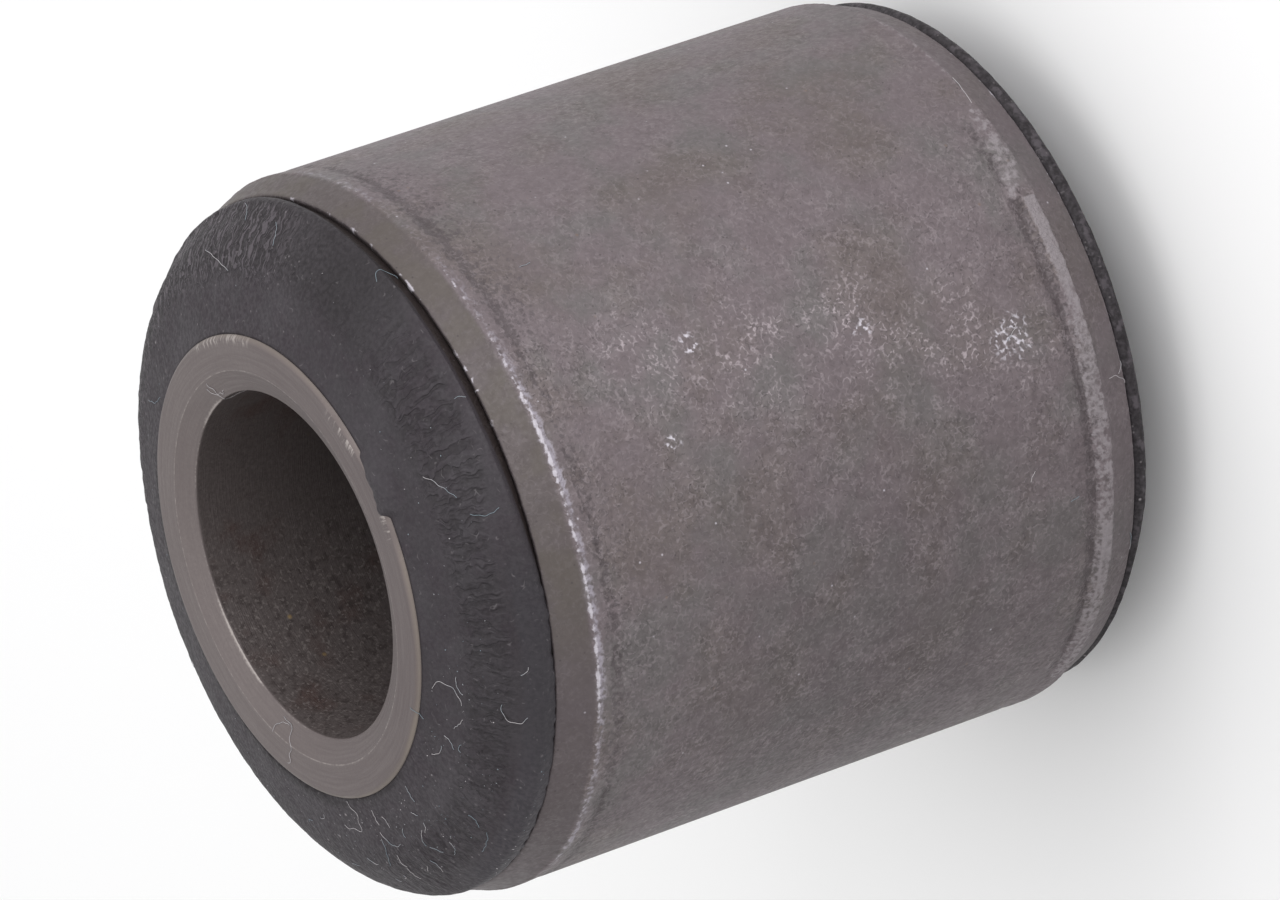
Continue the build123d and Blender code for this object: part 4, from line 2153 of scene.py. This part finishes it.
@dataclass(frozen=True)
class Softbox:
    """One soft light that looks at the bush.

    Attributes:
        name: Its name.
        towards: Direction from the bush to the light.
        distance: How far away it is, in metres.
        width: Its width in metres.
        height: Its height in metres.
        power: Its power in watts.
        tint: Its colour.
    """

    name: str
    towards: tuple[float, float, float]
    distance: float
    width: float
    height: float
    power: float
    tint: tuple[float, float, float] = (1.0, 1.0, 1.0)

    def hang(self, aim: Vector) -> Piece:
        """Hangs the light.

        Args:
            aim: The point that it looks at.

        Returns:
            The light.
        """
        direction = Vector(self.towards).normalized()
        bpy.ops.object.light_add(type="AREA", location=aim + direction * self.distance)
        light = bpy.context.active_object
        light.name = self.name
        light.rotation_euler = direction.to_track_quat("Z", "Y").to_euler()
        light.data.shape = "RECTANGLE"
        light.data.size = self.width
        light.data.size_y = self.height
        light.data.energy = self.power
        light.data.color = self.tint
        return light


@dataclass
class Studio:
    """The pale floor, the soft lights and the camera.

    Attributes:
        camera_place: Where the camera stands, in metres.
        camera_right: Which way the picture's right edge lies.
        camera_up: Which way its top lies.
        lens: Focal length in millimetres.
        sensor: Width of the sensor in millimetres.
        nearest: How near the camera still sees, in metres.
        floor_size: Side of the floor, in metres.
        floor_colour: The floor's colour.
        floor_roughness: How matt the floor is.
        sky_colour: The room's colour.
        sky: Brightness of the room.
        softboxes: The lights.
    """

    camera_place: tuple[float, float, float] = (-0.000284, -0.684554, 0.408286)
    camera_right: tuple[float, float, float] = (-0.326257, -0.457881, -0.826983)
    camera_up: tuple[float, float, float] = (0.945281, -0.158035, -0.285428)
    lens: float = 327.9
    sensor: float = 36.0
    nearest: float = 0.01
    floor_size: float = 6.0
    floor_colour: Colour = (0.92, 0.92, 0.92, 1.0)
    floor_roughness: float = 0.9
    sky_colour: Colour = (1.0, 1.0, 1.0, 1.0)
    sky: float = 0.77
    softboxes: tuple[Softbox, ...] = (
        Softbox("side_softbox", (0.5, -0.8, 0.3), 0.75, 0.8, 0.7, 4.0, (0.98, 0.98, 1.0)),
        Softbox("top_softbox", (0.3, -0.1, 1.0), 0.8, 0.8, 0.8, 2.0),
    )

    def build(self, aim: Vector) -> None:
        """Builds the whole studio round the bush.

        Args:
            aim: The bush's middle.
        """
        self.lay_floor()
        self.light_room()
        for softbox in self.softboxes:
            softbox.hang(aim)
        self.stand_camera()

    def lay_floor(self) -> None:
        """Lays the plain pale floor."""
        clear_selection()
        bpy.ops.mesh.primitive_plane_add(size=self.floor_size)
        floor = bpy.context.active_object
        floor.name = "studio_floor"
        material = bpy.data.materials.new("pale_floor")
        material.use_nodes = True
        shader = material.node_tree.nodes["Principled BSDF"]
        shader.inputs["Base Color"].default_value = self.floor_colour
        shader.inputs["Roughness"].default_value = self.floor_roughness
        floor.data.materials.append(material)

    def light_room(self) -> None:
        """Gives the room an even pale light."""
        world = bpy.data.worlds.new("studio_room")
        world.use_nodes = True
        background = world.node_tree.nodes["Background"]
        background.inputs["Color"].default_value = self.sky_colour
        background.inputs["Strength"].default_value = self.sky
        bpy.context.scene.world = world
        bpy.context.scene.view_settings.view_transform = "Standard"

    def stand_camera(self) -> None:
        """Stands the camera and makes it the scene's own."""
        bpy.ops.object.camera_add()
        camera = bpy.context.active_object
        camera.name = "studio_camera"
        right, up = Vector(self.camera_right), Vector(self.camera_up)
        turned = Matrix((right, up, right.cross(up))).transposed()
        camera.matrix_world = Matrix.Translation(self.camera_place) @ turned.to_4x4()
        camera.data.lens = self.lens
        camera.data.sensor_width = self.sensor
        camera.data.clip_start = self.nearest
        bpy.context.scene.camera = camera


# --- Assembly ---


def fit(
    piece: Piece, material: bpy.types.Material, node: Node | None = None
) -> None:
    """Finishes a piece and puts it on the bush.

    Args:
        piece: The finished mesh.
        material: Its finish.
        node: The solid that it stands for, if it stands for one.
    """
    clear_selection()
    piece.select_set(True)
    bpy.context.view_layer.objects.active = piece
    bpy.ops.object.shade_smooth()
    piece.data.materials.append(material)
    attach(piece, ROOT_BODY)
    if node:
        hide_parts(node.value)
    log.info("%s: %d faces", piece.name, len(piece.data.polygons))


def main() -> None:
    """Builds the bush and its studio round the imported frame."""
    logging.basicConfig(level=logging.INFO, format="%(name)s: %(message)s")
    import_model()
    low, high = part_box(Node.TUBE.value)
    middle = (low + high) / 2
    lathe = Lathe(middle.z)
    effects = Effects()

    Studio().build(middle)
    sleeve_finish = PhosphatedSteel("phosphated_steel", gloss=0.45, metal=0.15, relief_depth=0.045)
    rubber_finish = MouldedRubber("moulded_rubber", gloss=0.3, metal=0.0, relief_depth=0.06)
    tube_finish = MachinedSteel("machined_steel", gloss=0.45, metal=0.3, relief_depth=0.012)
    lint_finish = Lint("lint", gloss=0.2, metal=0.0, relief_depth=0.01)
    sleeve = OuterSleeve().build(lathe)
    rubber = RubberElement().build(lathe)
    tube = InnerTube().build(lathe)
    dirt = LooseDirt().build([rubber, tube, sleeve], middle.z)
    fit(sleeve, sleeve_finish.material(effects), Node.SLEEVE)
    fit(rubber, rubber_finish.material(effects), Node.RUBBER)
    fit(tube, tube_finish.material(effects), Node.TUBE)
    lint = lint_finish.material(effects)
    for piece in dirt:
        fit(piece, lint)


if __name__ == "__main__":
    main()
